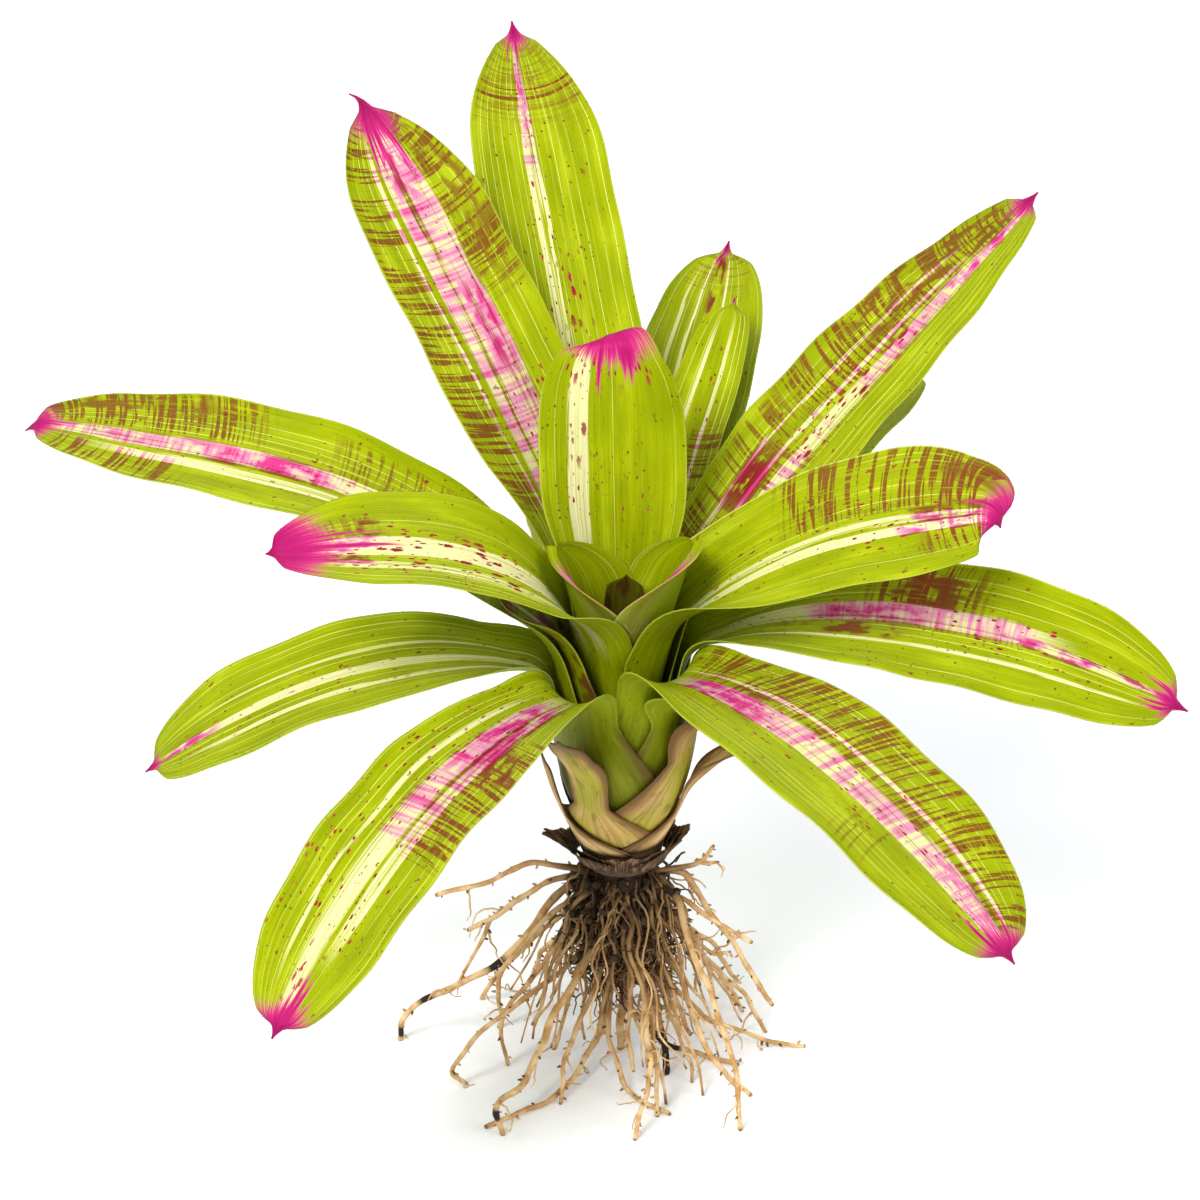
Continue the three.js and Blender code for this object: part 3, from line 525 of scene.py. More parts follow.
# The leaves from the heart outwards, each a layer further out. Marks run along the leaf from its
# neck (0) to its tip (1) and across it from one margin (-1) to the other (1), counted the way the
# azimuth grows.
#   stripes: middle, half of the width, start, end
#   tints:   from side, to side, start, end, strength, pattern
#   rim:     the side that it is on, start, end
#   tip:     length of the magenta tip in mm
LEAVES = {
    # The heart leaf's own dark brown-red is darkened further as painted shade for the deep middle of the
    # rosette.
    "heart_leaf": leaf(
        80, 165, 40, 20, [3, 2, 0, -4], wrap=120, neck=1, channel=60, blunt=2.2, point=0.5, spine=2,
        columns=16, tone=(0.032, 0.011, 0.004), spots=0.2,
        tints=[(-1, 1, -1, 1.2, 0.5, "wash")]),
    "cup_leaf_left": leaf(
        175, 184, 38, 66, [14, 14, 13, 12], wrap=110, neck=1, open=3, lag=0, ease=400, channel=50,
        full=0.42, blunt=2, point=0.75, spine=2, lip=(1, 3.6), spots=0.3, lines=0.15,
        rim=(1, 0.2, 0.88)),
    "cup_leaf_right": leaf(
        353, 184, 43, 66, [14, 14, 13, 12], wrap=110, neck=1, open=3, lag=0, ease=400, channel=50,
        full=0.45, blunt=2, point=0.75, spine=3, lip=(-1, 3.6), spots=0.3, lines=0.15,
        rim=(-1, 0.16, 0.88)),
    "leaf_centre": leaf(
        98, 188, 112, 58, [14, 10, 6, 3], roll=[0, 0, 2, 20], neck=0.8, open=0.6, channel=20, blunt=3,
        point=0.55, spine=4, tip_curl=115,
        stripes=[(0.46, 0.14, 0, 0.92)], tip=18, spots=0.9, lines=0.25,
        tints=[(0.25, 0.65, 0.3, 0.62, 1, "flecks"), (-0.5, 0.35, 0.3, 0.62, 0.8, "flecks"),
               (0.3, 0.6, 0.5, 0.7, 0.9, "drips"), (-0.7, 0.75, 0.78, 0.93, 1, "drips")]),
    "leaf_left_inner": leaf(
        212, 182, 146, 52, [28, 55, 79, 92], turn=[-7, -13, -15, -16], roll=[5, 18, 22, 22], wrap=110,
        neck=0.9, open=0.3, blunt=2.4, point=0.75, spine=3,
        stripes=[(0.05, 0.2, 0.05, 1), (0.5, 0.1, 0.05, 0.85)], tip=30, spots=0.9, lines=0.4,
        tints=[(-0.4, 0.8, 0.1, 0.85, 1, "flecks"), (-0.6, 0, 0.7, 0.95, 0.35, "bars"),
               (-0.3, 0.6, 0.3, 0.85, 1, "drips"), (-0.5, 0.5, 0.7, 0.95, 0.8, "wash")]),
    "leaf_right_inner": leaf(
        357, 181, 148, 57, [40, 57, 73, 86], turn=[-3, -3, -3, -3], roll=[-5, -22, -36, -36], wrap=110,
        neck=0.95, full=0.62, blunt=3, point=0.5, spine=3, tip_curl=80,
        stripes=[(-0.02, 0.06, 0.05, 1), (-0.2, 0.07, 0.1, 1)], tip=12, spots=0.8, lines=0.35,
        tints=[(0.12, 1, 0.42, 1, 0.6, "bars"), (-0.3, 0.1, 0.45, 1, 0.8, "flecks"),
               (-0.3, 0.1, 0.72, 1, 0.9, "wash"), (-0.7, 0.9, 0.78, 1, 0.75, "bars"),
               (0, 1, 0.82, 1, 0.45, "wash"), (-0.5, 0.4, 0.15, 0.85, 1, "flecks")]),
    "leaf_top_left": leaf(
        122, 184, 228, 56, [31, 38, 42, 41], turn=[4, 10, 11.5, 11], roll=[5, 12, 14, 14], neck=0.45,
        full=0.68, blunt=3, point=1.15, spine=9, hook=25, hook_turn=50,
        stripes=[(-0.14, 0.2, 0.05, 1), (0.2, 0.1, 0.1, 0.95), (0.42, 0.03, 0.1, 0.9)], tip=26,
        spots=0.6,
        tints=[(-0.34, 0.3, 0.2, 1, 0.8, "blush"), (-0.34, 0, 0.44, 0.62, 0.9, "stain"),
               (-0.3, 0.2, 0.78, 1, 0.9, "wash"), (-1, -0.34, 0.58, 1, 0.6, "bars"),
               (-1, -0.34, 0.6, 0.97, 0.42, "wash"), (0.35, 1, 0.2, 0.97, 0.6, "bars"),
               (-0.8, 0.1, 0.1, 0.45, 1, "flecks")]),
    "leaf_top": leaf(
        99, 180, 256, 56, [38, 43, 44, 42], turn=[2, 5, 6, 6], neck=0.4, open=0.2, full=0.7, blunt=3,
        point=1.1, spine=6,
        stripes=[(0.13, 0.06, 0.2, 1), (0.03, 0.025, 0.2, 0.9)], tip=13, spots=0.7, lines=0.7,
        tints=[(0.02, 0.2, 0.74, 1, 0.75, "blush"), (-0.95, 0.95, 0.86, 0.92, 1, "bands"),
               (-0.1, 0.26, 0.3, 0.85, 1, "flecks"), (-0.36, 0.04, 0.46, 0.6, 1, "drips"),
               (0.02, 0.2, 0.8, 1, 0.9, "wash"), (-0.9, 0.9, 0.82, 1, 0.3, "bars")]),
    "leaf_right_upper": leaf(
        39, 178, 231, 54, [46, 50, 54, 56], turn=[-2, -5, -6, -6], roll=[-5, -12, -15, -15], neck=0.65,
        open=0.3, full=0.25, blunt=2.6, point=0.75, spine=6,
        stripes=[(-0.16, 0.13, 0.1, 1), (0.14, 0.03, 0.1, 0.8), (0.45, 0.03, 0.1, 0.8)], tip=14,
        spots=0.8, lines=0.45,
        tints=[(-0.3, 0.0, 0.55, 1, 0.8, "blush"), (-0.3, 0, 0.75, 1, 0.95, "wash"),
               (-0.32, 0.02, 0.2, 0.7, 1, "drips"), (0, 1, 0.45, 0.97, 0.6, "bars"),
               (0.05, 1, 0.6, 0.95, 0.55, "wash"), (0.05, 0.5, 0.24, 0.36, 1, "blot"),
               (-0.4, 0.9, 0.12, 0.45, 0.5, "bars"), (-0.4, 0.4, 0.2, 0.6, 1, "flecks")]),
    "leaf_back_small": leaf(
        73, 177, 150, 28, [50, 50, 52, 52], turn=[-1, -3, -4, -4], neck=0.45,
        stripes=[(0.35, 0.07, 0.1, 0.9), (-0.3, 0.06, 0.1, 0.9)], tip=3, spots=0.5,
        tints=[(-0.5, 0.1, 0.2, 0.8, 0.9, "flecks"), (-1, 0, 0.1, 0.6, 0.5, "bars")]),
    "leaf_left_hidden": leaf(
        192, 176, 46, 28, [20, 34, 50, 56], roll=[5, 10, 15, 15], wrap=110, neck=1.2, blunt=2.2,
        point=0.5, columns=24,
        stripes=[(0.2, 0.1, 0, 1)], spots=0.9, aged=0.4,
        tints=[(-1, 1, -0.5, 1.2, 0.9, "wash")]),
    "leaf_back_right": leaf(
        76, 172, 196, 50, [52, 58, 60, 60], neck=0.75, spine=7,
        stripes=[(0.3, 0.03, 0.1, 1), (-0.2, 0.03, 0.1, 1), (0.55, 0.03, 0.1, 0.9)], tip=9, spots=0.6,
        tints=[(-0.1, 0.14, 0.8, 1, 1, "wash"), (-0.8, 0.8, 0.86, 1, 0.3, "bars")]),
    "leaf_right_lower": leaf(
        358, 170, 205, 54, [64, 87, 101, 116], turn=[-2, -5, -7, -7], roll=[-8, -24, -38, -38],
        neck=0.4, open=0.3, spine=6,
        stripes=[(0.12, 0.17, 0.1, 0.72), (0.02, 0.06, 0.55, 1), (-0.4, 0.03, 0.1, 0.9)], tip=14,
        spots=0.8, lines=0.4,
        tints=[(-0.1, 0.3, 0.28, 0.7, 0.7, "blush"), (-0.05, 0.28, 0.28, 0.5, 0.9, "stain"),
               (0.25, 0.95, 0.38, 0.58, 0.75, "bars"), (0.2, 0.8, 0.4, 0.56, 0.7, "wash"),
               (-0.35, -0.05, 0.22, 0.44, 0.6, "wash"), (-0.08, 0.12, 0.6, 1, 0.9, "wash"),
               (-0.3, 0.4, 0.1, 0.8, 1, "flecks")]),
    "leaf_left_upper": leaf(
        168, 168, 242, 50, [38, 62, 82, 86], roll=[4, 18, 26, 20], neck=0.9, open=0.25, point=0.75,
        tip_curl=40,
        stripes=[(0.02, 0.16, 0.1, 1), (0.38, 0.1, 0.15, 0.85)], tip=15, spots=0.7,
        tints=[(-0.15, 0.18, 0.6, 1, 0.75, "blush"), (-0.14, 0.22, 0.48, 0.69, 1, "stain"),
               (-0.15, 0.15, 0.6, 0.95, 0.7, "wash"), (-1, -0.2, 0.62, 1, 0.6, "bars"),
               (-1, -0.4, 0.7, 0.95, 0.5, "wash"), (-0.8, 0, 0.28, 0.5, 0.45, "bars"),
               (0.3, 1, 0.72, 0.95, 0.6, "bars"), (-0.3, 0.6, 0.2, 0.6, 0.8, "flecks")]),
    "leaf_front_right": leaf(
        306, 166, 200, 67, [73, 97, 112, 124], turn=[3, 6, 8, 8], neck=0.55, open=0.3,
        stripes=[(0.04, 0.19, 0.1, 1), (0.4, 0.03, 0.1, 0.95)], tip=15, spots=0.8, lines=0.45, aged=0.5,
        tints=[(-0.14, 0.24, 0.12, 1, 0.7, "blush"), (0.2, 1, 0.1, 0.97, 0.6, "bars"),
               (-0.2, 0.24, 0.1, 0.34, 0.95, "stain"), (0.1, 0.5, 0.14, 0.34, 0.6, "wash"),
               (-0.1, 0.3, 0.74, 0.97, 0.7, "wash"), (-0.9, 0, 0.6, 0.72, 0.35, "bands"),
               (-0.4, 0.5, 0.15, 0.95, 1, "flecks")]),
    "leaf_right_back": leaf(
        51, 162, 182, 40, [54, 64, 70, 74], turn=[-1, -2, -3, -3], spine=6,
        stripes=[(0.1, 0.1, 0.1, 0.95)], tip=10, spots=0.5,
        tints=[(0, 0.25, 0.3, 1, 0.9, "blush"), (0.2, 1, 0.5, 0.95, 0.55, "bars")]),
    "leaf_right_hidden": leaf(
        325, 156, 34, 38, [40, 62, 76, 84], neck=0.7, blunt=2.2, point=0.5, columns=24, spots=0.6,
        aged=0.8),
    "leaf_left_lower": leaf(
        180, 160, 172, 52, [72, 95, 112, 124], turn=[1, 3, 5, 6], roll=[5, 14, 18, 18], narrowing=1.2,
        neck=0.5,
        stripes=[(0, 0.09, 0, 0.95), (0.36, 0.05, 0, 0.85), (-0.4, 0.02, 0, 0.8)], tip=8, spots=0.6,
        lines=0.7, aged=0.3,
        tints=[(-0.1, 0.1, 0.82, 1, 0.9, "wash"), (-0.3, 0.4, 0.3, 0.95, 0.8, "flecks")]),
    "leaf_front_left": leaf(
        235, 159, 200, 58, [80, 102, 119, 129], turn=[-4, -5, -2, 1], wrap=106, narrowing=1.1,
        swing=0.35, neck=0.55,
        stripes=[(-0.1, 0.16, 0.08, 1), (0.22, 0.1, 0.1, 0.8), (-0.5, 0.04, 0.15, 0.85)], tip=16,
        spots=0.9, aged=0.7,
        tints=[(-0.3, 0.34, 0.2, 0.56, 0.75, "blush"), (0.2, 1, 0.26, 0.6, 0.7, "bars"),
               (-0.24, 0.4, 0.12, 0.38, 0.95, "stain"), (0.3, 0.8, 0.3, 0.42, 0.8, "wash"),
               (-0.3, 0.2, 0.8, 1, 0.9, "drips"), (-1, 0.5, 0.1, 0.85, 1, "flecks")]),
    "leaf_back": leaf(
        96, 150, 190, 50, [64, 88, 98, 105], spine=7,
        stripes=[(0.1, 0.12, 0.1, 1)], tip=14, spots=0.5, lines=0.6, aged=0.5,
        tints=[(-0.1, 0.3, 0.3, 1, 0.9, "blush"), (-1, 0, 0.5, 0.9, 0.6, "bars")]),
}

DARK_GREEN = (0.175, 0.225, 0.0003)
LIME = (0.290, 0.345, 0.0004)
PALE_GREEN = (0.40, 0.48, 0.010)
LINE_YELLOW = (0.62, 0.65, 0.15)
CREAM = (0.66, 0.63, 0.32)
BROWN_TINT = (0.160, 0.042, 0.009)
MAROON = (0.20, 0.004, 0.014)
BLOOD_RED = (0.34, 0.004, 0.040)
PALE_PINK = (0.62, 0.235, 0.36)
PINK = (0.56, 0.022, 0.190)
MAGENTA = (0.40, 0.001, 0.125)
SPOT_DARK = (0.06, 0.022, 0.004)
SHEATH_GREEN = (0.098, 0.112, 0.004)
SHEATH_OLIVE = (0.190, 0.175, 0.028)
SHEATH_EDGE = (0.120, 0.052, 0.020)
UNDERSIDE = (0.21, 0.27, 0.008)
MARGIN = (0.50, 0.52, 0.08)


def leaf_paint(name, leaf, seed):
    paint = Paint(name + "_skin", DARK_GREEN, 0.42, 0.16)
    across, past_neck, to_tip = paint.attribute("place")
    under, edge, along = paint.attribute("skin")
    share = across * (2 / leaf["width"])
    bent = across * across * -0.007 + past_neck

    def pattern(across_scale, along_scale, shift, detail=2.0, length=past_neck):
        return paint.noise(paint.place(across * across_scale + (seed * 7.3 + shift),
                                       length * along_scale, shift), 1, detail)

    def band(value, low, high, soft):
        return value.step(low - soft, low + soft) * value.step(high - soft, high + soft, 1, 0)

    uneven = pattern(1.3, 0.9, 21, 1)

    def spatter(across_scale, along_scale, chance, size, spread, shift):
        gap, luck, width_luck = paint.cells(paint.place(
            across * across_scale + uneven * 0.45 + (seed * 1.7 + shift),
            past_neck * along_scale + uneven * 0.3 + shift))
        reach = width_luck * width_luck * spread + size
        return (luck < chance) * gap.step(reach * 0.6, reach, 1, 0)

    # The green ground, clouded and finely streaked.
    patch = pattern(0.12, 0.03, 1, 3)
    vein = pattern(1.7, 0.012, 2, 1)
    grain = pattern(0.5, 0.010, 13, 4)
    thread = pattern(2.6, 0.05, 3, 2)
    ragged = (pattern(1.0, 0.02, 4, 1) - 0.5) * 0.12
    wander = (pattern(0.05, 0.02, 4) - 0.5) * 0.12
    drifted = share + wander + ragged
    paint.coat(patch.step(0.32, 0.62), LIME)
    paint.coat(0.45, LIME)
    paint.coat(patch.step(0.54, 0.70, 0, 0.5), PALE_GREEN)
    paint.coat(grain.step(0.5, 0.72, 0, 0.22), PALE_GREEN)
    paint.coat(grain.step(0.28, 0.5, 0.35, 0), DARK_GREEN)

    # Thin yellow lines at random, and the leaf's own cream stripes.
    line_gap, line_chance, line_width = paint.cells(across * 0.34 + seed * 3.1, "1D")
    line_reach = line_width * 0.05 + 0.045
    line = ((line_chance < leaf["lines"]) * line_gap.step(line_reach * 0.4, line_reach, 1, 0)
            * pattern(0.9, 0.01, 5).step(0.38, 0.5, 0.2, 1) * past_neck.step(0, 30))
    cream = paint.number(0)
    for middle, spread, start, end in leaf["stripes"]:
        body = abs(drifted - middle).step(spread * 0.9, spread * 1.02, 1, 0)
        cream = cream.at_least(body * band(along, start, end, 0.07))
    cream = cream * pattern(0.75, 0.006, 14, 1).step(0.57, 0.64, 1, 0.3)
    clouded = paint.mix(grain.step(0.46, 0.7, 0, 0.4), CREAM, PALE_GREEN)
    paint.coat((line * 0.85).at_least(cream), paint.mix(cream, LINE_YELLOW, clouded))

    # Red pigment, pink where it lies on cream and brown where it lies on green.
    bars = pattern(0.03, 0.58, 6, 2, bent)
    broad = pattern(0.04, 0.13, 15, 2, bent)
    columns = pattern(1.2, 0.06, 7, 1)
    blotch = pattern(0.2, 0.09, 8, 3)
    dashes = columns.step(0.34, 0.46, 0.35, 1)
    patterns = {
        "bars": (bars + broad * 0.3).step(0.63, 0.71, 0.05, 1) * dashes,
        "blush": bars.step(0.42, 0.62) * 0.5 + broad.step(0.35, 0.7, 0, 0.6),
        "bands": pattern(0.008, 0.46, 9, 1, bent).step(0.57, 0.61) * dashes,
        "wash": blotch.step(0.42, 0.62),
        "stain": (blotch + bars * 0.35).step(0.50, 0.78, 0.25, 1),
        "blot": (blotch + columns * 0.3).step(0.50, 0.64),
    }
    blood_patterns = {
        "flecks": spatter(0.52, 0.22, 0.32, 0.10, 0.26, 3.3),
        "drips": spatter(0.40, 0.15, 0.5, 0.20, 0.40, 5.1),
    }
    tint = blood = paint.number(0)
    for low, high, start, end, strength, kind in leaf["tints"]:
        zone = band(drifted, low, high, 0.07) * band(along, start, end, 0.05) * strength
        if kind in patterns:
            tint = tint.at_least(zone * patterns[kind])
        else:
            blood = blood.at_least(zone * blood_patterns[kind])
    on_cream = paint.mix(tint.step(0, 0.5), paint.colour, PALE_PINK)
    on_cream = paint.mix(tint.step(0.42, 0.95), on_cream, PINK)
    on_green = paint.mix(tint.step(0, 0.6, 0, 0.9), paint.colour, BROWN_TINT)
    on_green = paint.mix(tint.step(0.5, 1), on_green, MAROON)
    paint.colour = paint.mix(cream, on_green, on_cream)
    paint.coat(blood, paint.mix(patch.step(0.4, 0.6), BLOOD_RED, MAROON))

    # Fine dark spots in clusters, and a few broader ones.
    spots = leaf["spots"]
    clusters = pattern(0.08, 0.03, 11).step(0.42, 0.60, 0.05, 1)
    paint.coat(spatter(0.38, 0.30, clusters * (spots * 0.42), 0.07, 0.15, 7.7) * 0.85, SPOT_DARK)
    paint.coat(spatter(0.17, 0.10, spots * 0.3, 0.05, 0.09, 9.1) * 0.85, MAROON)

    # The magenta tip, which runs back along the leaf in streaks.
    tip = leaf["tip"]
    if tip:
        off_middle = abs(share)
        streak = pattern(0.3, 0.004, 16, 1).step(0.5, 0.66) * off_middle.step(0.25, 0.6, 1, 0)
        reach = to_tip + (vein - 0.5) * (tip * 0.9) + streak * (tip * -0.7) + off_middle * (tip * 0.45)
        paint.coat(reach.step(tip * 0.75, tip * 1.1, 1, 0), PINK)
        paint.coat(reach.step(tip * 0.5, tip * 0.9, 1, 0), MAGENTA)

    # The yellow margin, a torn pink rim where the leaf has one, and the sheath below the neck.
    paint.coat(edge.step(0.975, 0.995, 0, 0.5) * to_tip.step(tip, tip + 15), MARGIN)
    if leaf["rim"]:
        side, start, end = leaf["rim"]
        torn = share * side + ragged * 2.5
        strip = torn.step(0.54, 0.62) * band(along, start, end, 0.06) * (under * -0.8 + 1)
        paint.coat(strip, paint.mix(blotch.step(0.36, 0.58), PALE_PINK, PINK))
    aged = leaf["aged"]
    sheath = paint.mix(patch.step(0.35, 0.7), SHEATH_GREEN, paint.mix(aged, LIME, SHEATH_OLIVE))
    paint.coat(past_neck.step(-30, 8, 1, 0) * 0.9, sheath)
    worn = edge + (blotch - 0.5) * 0.5
    rim_brown = worn.step(1 - 0.5 * aged, 1.05) * past_neck.step(-10, 8, 1, 0)
    paint.coat(rim_brown * min(1, 0.3 + aged), SHEATH_EDGE)

    # The dull underside, the leaf's own tone (on the heart leaf darkened further as painted shade),
    # light and dark along its veins, and painted shade that darkens the blade towards its base at the
    # neck.
    paint.coat(under * past_neck.step(0, 20) * 0.6, UNDERSIDE)
    # A tone of the leaf's own, which on the heart leaf is partly painted shade.
    if leaf["tone"]:
        paint.coat(0.8, leaf["tone"])
    # Painted shade: the blade is darkened towards the neck, where the leaves round it shade it.
    vein_tone_and_base_shade = (vein.step(0.3, 0.7, -0.07, 0.07) + thread.step(0.3, 0.7, -0.06, 0.06)
               + past_neck.step(-10, 70, 0.8, 1))
    paint.coat(1, vein_tone_and_base_shade, "MULTIPLY")
    for label, value in (("Specular Tint", (1, 1, 0.2)), ("Subsurface Weight", 0.1),
                         ("Subsurface Radius", (0.8, 1, 0.1)), ("Subsurface Scale", 0.0015),
                         ("Roughness", patch.step(0.3, 0.7, 0.38, 0.5))):
        paint.set(label, value)
    return paint.finish(vein * 0.7 + thread * 0.3, 0.0005)


LONG_LEAF = 100
margins = []
for layer, (name, shape) in enumerate(LEAVES.items()):
    shape["layer"] = layer
    mesh, grid, past_neck = leaf_mesh(name, shape, layer, MARGIN_THINNING)
    piece_from(name + "_blade", mesh, leaf_paint(name, shape, layer + 1), name)
    if shape["length"] > LONG_LEAF:
        margins.append((grid, past_neck, shape["length"]))


# ------------------------------------------------------------------ marginal teeth
# Small soft spines, one every few millimetres along both margins of each long leaf. They grow
# from the leaf and point outwards and a little towards its tip.

TOOTH_SPACING = 5.5
TOOTH_SUNK = 0.15
TOOTH_LEAN = 0.7
TOOTH_SIZES = {"Length": 0.0006, "Width": 0.00022, "Blunt end": 0.00002}
TOOTH_TIP = (0.36, 0.36, 0.05)
TOOTH_BROWN = (0.24, 0.14, 0.02)
FIRST_TOOTH = 25
LAST_TOOTH = 6
GROWTH_INPUTS = {"Points": "Geometry", "Length": "Float", "Width": "Float", "Blunt end": "Float",
                 "Seed": "Int", "Material": "Material"}
GROWTH_SCALES = (0.6, 1.3)
GROWTH_SIDES = 6


def growth_tree():
    """Sets one pointed shape on each point, along the point's own direction and at its own size."""
    tree = bpy.data.node_groups.new("small_growths", "GeometryNodeTree")
    inputs = {label: tree.interface.new_socket(label, in_out="INPUT", socket_type="NodeSocket" + kind)
              for label, kind in GROWTH_INPUTS.items()}
    tree.interface.new_socket("Shapes", in_out="OUTPUT", socket_type="NodeSocketGeometry")

    def node(kind, **joined):
        made = tree.nodes.new(kind)
        for label, socket in joined.items():
            tree.links.new(socket, made.inputs[label.replace("_", " ")])
        return made

    given = node("NodeGroupInput").outputs
    cone = node("GeometryNodeMeshCone", Radius_Top=given["Blunt end"], Radius_Bottom=given["Width"],
                Depth=given["Length"])
    cone.inputs["Vertices"].default_value = GROWTH_SIDES
    direction = node("GeometryNodeInputNamedAttribute")
    direction.data_type = "FLOAT_VECTOR"
    direction.inputs["Name"].default_value = "outward"
    turned = node("FunctionNodeAlignRotationToVector", Vector=direction.outputs["Attribute"])
    turned.axis = "Z"
    size = node("FunctionNodeRandomValue", Seed=given["Seed"])
    size.data_type = "FLOAT"
    low, high = (s for s in size.inputs if s.type == "VALUE" and s.enabled)
    low.default_value, high.default_value = GROWTH_SCALES
    scale = next(s for s in size.outputs if s.type == "VALUE" and s.enabled)
    placed = node("GeometryNodeInstanceOnPoints", Points=given["Points"], Instance=cone.outputs["Mesh"],
                  Rotation=turned.outputs["Rotation"], Scale=scale)
    real = node("GeometryNodeRealizeInstances", Geometry=placed.outputs["Instances"])
    dressed = node("GeometryNodeSetMaterial", Geometry=real.outputs["Geometry"],
                   Material=given["Material"])
    node("NodeGroupOutput", Shapes=dressed.outputs["Geometry"])
    return tree, {label: socket.identifier for label, socket in inputs.items()}


def grow(name, points, outward, settings):
    """Makes one plain mesh piece of all the shapes that grow on the points."""
    mesh = bpy.data.meshes.new(name)
    mesh.from_pydata((np.asarray(points) / 1000).tolist(), [], [])
    set_attribute(mesh, "outward", outward)
    piece = put_in_scene(name, mesh)
    modifier = piece.modifiers.new(name, "NODES")
    modifier.node_group = growths
    for label, value in settings.items():
        modifier[growth_inputs[label]] = value
    evaluated = piece.evaluated_get(bpy.context.evaluated_depsgraph_get())
    grown = bpy.data.meshes.new_from_object(evaluated)
    piece.modifiers.clear()
    piece.data = grown
    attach(piece, "root")


def unit_rows(rows):
    return rows / np.linalg.norm(rows, axis=1, keepdims=True)


growths, growth_inputs = growth_tree()
tooth = Paint("tooth_tip", TOOTH_TIP, 0.5)
tooth.coat(tooth.noise(tooth.where(), 300), TOOTH_BROWN)
tooth_points, tooth_ways = [], []
for grid, past_neck, length in margins:
    for edge_column, inner_column in ((0, 1), (-1, -2)):
        line = grid[:, edge_column]
        run = np.concatenate([[0], np.cumsum(np.linalg.norm(np.diff(line, axis=0), axis=1))])
        first, last = np.interp([FIRST_TOOTH, length - LAST_TOOTH], past_neck, run)
        along = np.arange(first, last, TOOTH_SPACING)
        margin, inner, ahead = (
            np.stack([np.interp(along, run, table[:, i]) for i in range(3)], 1)
            for table in (line, grid[:, inner_column], np.gradient(line, axis=0)))
        out = unit_rows(margin - inner)
        tooth_points.append(margin - TOOTH_SUNK * out)
        tooth_ways.append(unit_rows(out + TOOTH_LEAN * unit_rows(ahead)))
grow("marginal_teeth", np.concatenate(tooth_points), np.concatenate(tooth_ways),
     {**TOOTH_SIZES, "Seed": 4, "Material": tooth.finish()})


# ------------------------------------------------------------------ old and dry leaves
# The lowest living leaves have lost their blades to short tan stumps with purple-brown margins.
# Below them two dead leaves have dried to thin, curled, papery straps.

OLD_LEAVES = {
    "old_leaf_right": leaf(
        332, 140, 24, 26, [24, 28, 30, 32], wrap=110, narrowing=1.1, swing=0.2, neck=0.9, blunt=2.2,
        point=0.5, spine=3),
    "old_leaf_left": leaf(
        242, 122, 48, 18, [22, 30, 38, 42], wrap=85, narrowing=1, swing=0.2, blunt=2.2, point=0.5,
        spine=4),
}
DRY_LEAVES = {
    "dry_leaf_right": leaf(
        345, 114, 82, 17, [34, 44, 96, 112], wrap=80, narrowing=1, blunt=2.2, point=0.5, spine=6),
    "dry_leaf_left": leaf(
        195, 112, 30, 14, [24, 18, 14, 10], wrap=90, narrowing=1, blunt=2.2, point=0.5, spine=5),
}
OLD_LOOK = dict(light=(0.42, 0.37, 0.035), dark=(0.60, 0.39, 0.12), rim=(0.120, 0.046, 0.017),
                rim_start=0.5, faded=38, streaks=0.4, roughness=0.5)
DRY_LOOK = dict(light=(0.80, 0.56, 0.26), dark=(0.52, 0.30, 0.11), rim=(0.10, 0.045, 0.016),
                rim_start=0.75, faded=22, streaks=0.45, roughness=0.7)


def aged_paint(name, seed, light, dark, rim, rim_start, faded, streaks, roughness):
    """Faded leaf tissue: long streaks of two colours, and a darker rim."""
    paint = Paint(name + "_skin", light, roughness, 0.15)
    across, past_neck, to_tip = paint.attribute("place")
    edge = paint.attribute("skin")[1]

    def pattern(across_scale, along_scale, detail):
        return paint.noise(
            paint.place(across * across_scale, past_neck * along_scale, seed), 1, detail)

    grain = pattern(1.2, 0.03, 4)
    patch = pattern(0.1, 0.05, 3)
    thread = pattern(4, 0.05, 2)
    paint.coat((patch + edge * 0.25).step(0.5, 0.72), dark)
    paint.coat(grain.step(0.45, 0.66, 0, streaks), rim)
    paint.coat(pattern(0.35, 0.11, 3).step(0.56, 0.66, 0, streaks), rim)
    paint.coat((edge + (patch - 0.5) * 0.3).step(rim_start, 1, 0, 0.9), rim)
    paint.coat((to_tip + patch * 18).step(10, faded, 0.85, 0), rim)
    paint.coat(thread.step(0.5, 0.8, 0, 0.3), light)
    return paint.finish(grain * 0.6 + thread * 0.4, 0.0008)


for leaves, slot, first_seed, look in ((OLD_LEAVES, "old_leaf", 31, OLD_LOOK),
                                       (DRY_LEAVES, "dry_leaf", 41, DRY_LOOK)):
    for seed, (name, shape) in enumerate(leaves.items(), first_seed):
        layer += 1
        shape["layer"] = layer
        mesh, _, _ = leaf_mesh(name, shape, seed)
        piece_from(name + "_blade", mesh, aged_paint(name, seed, **look), name)


# ------------------------------------------------------------------ dead leaf bases
# Below the bulb, what is left of rotted leaves: dark brown, brittle rings of fibre with a torn
# upper edge, still wrapped round the foot of the stem.

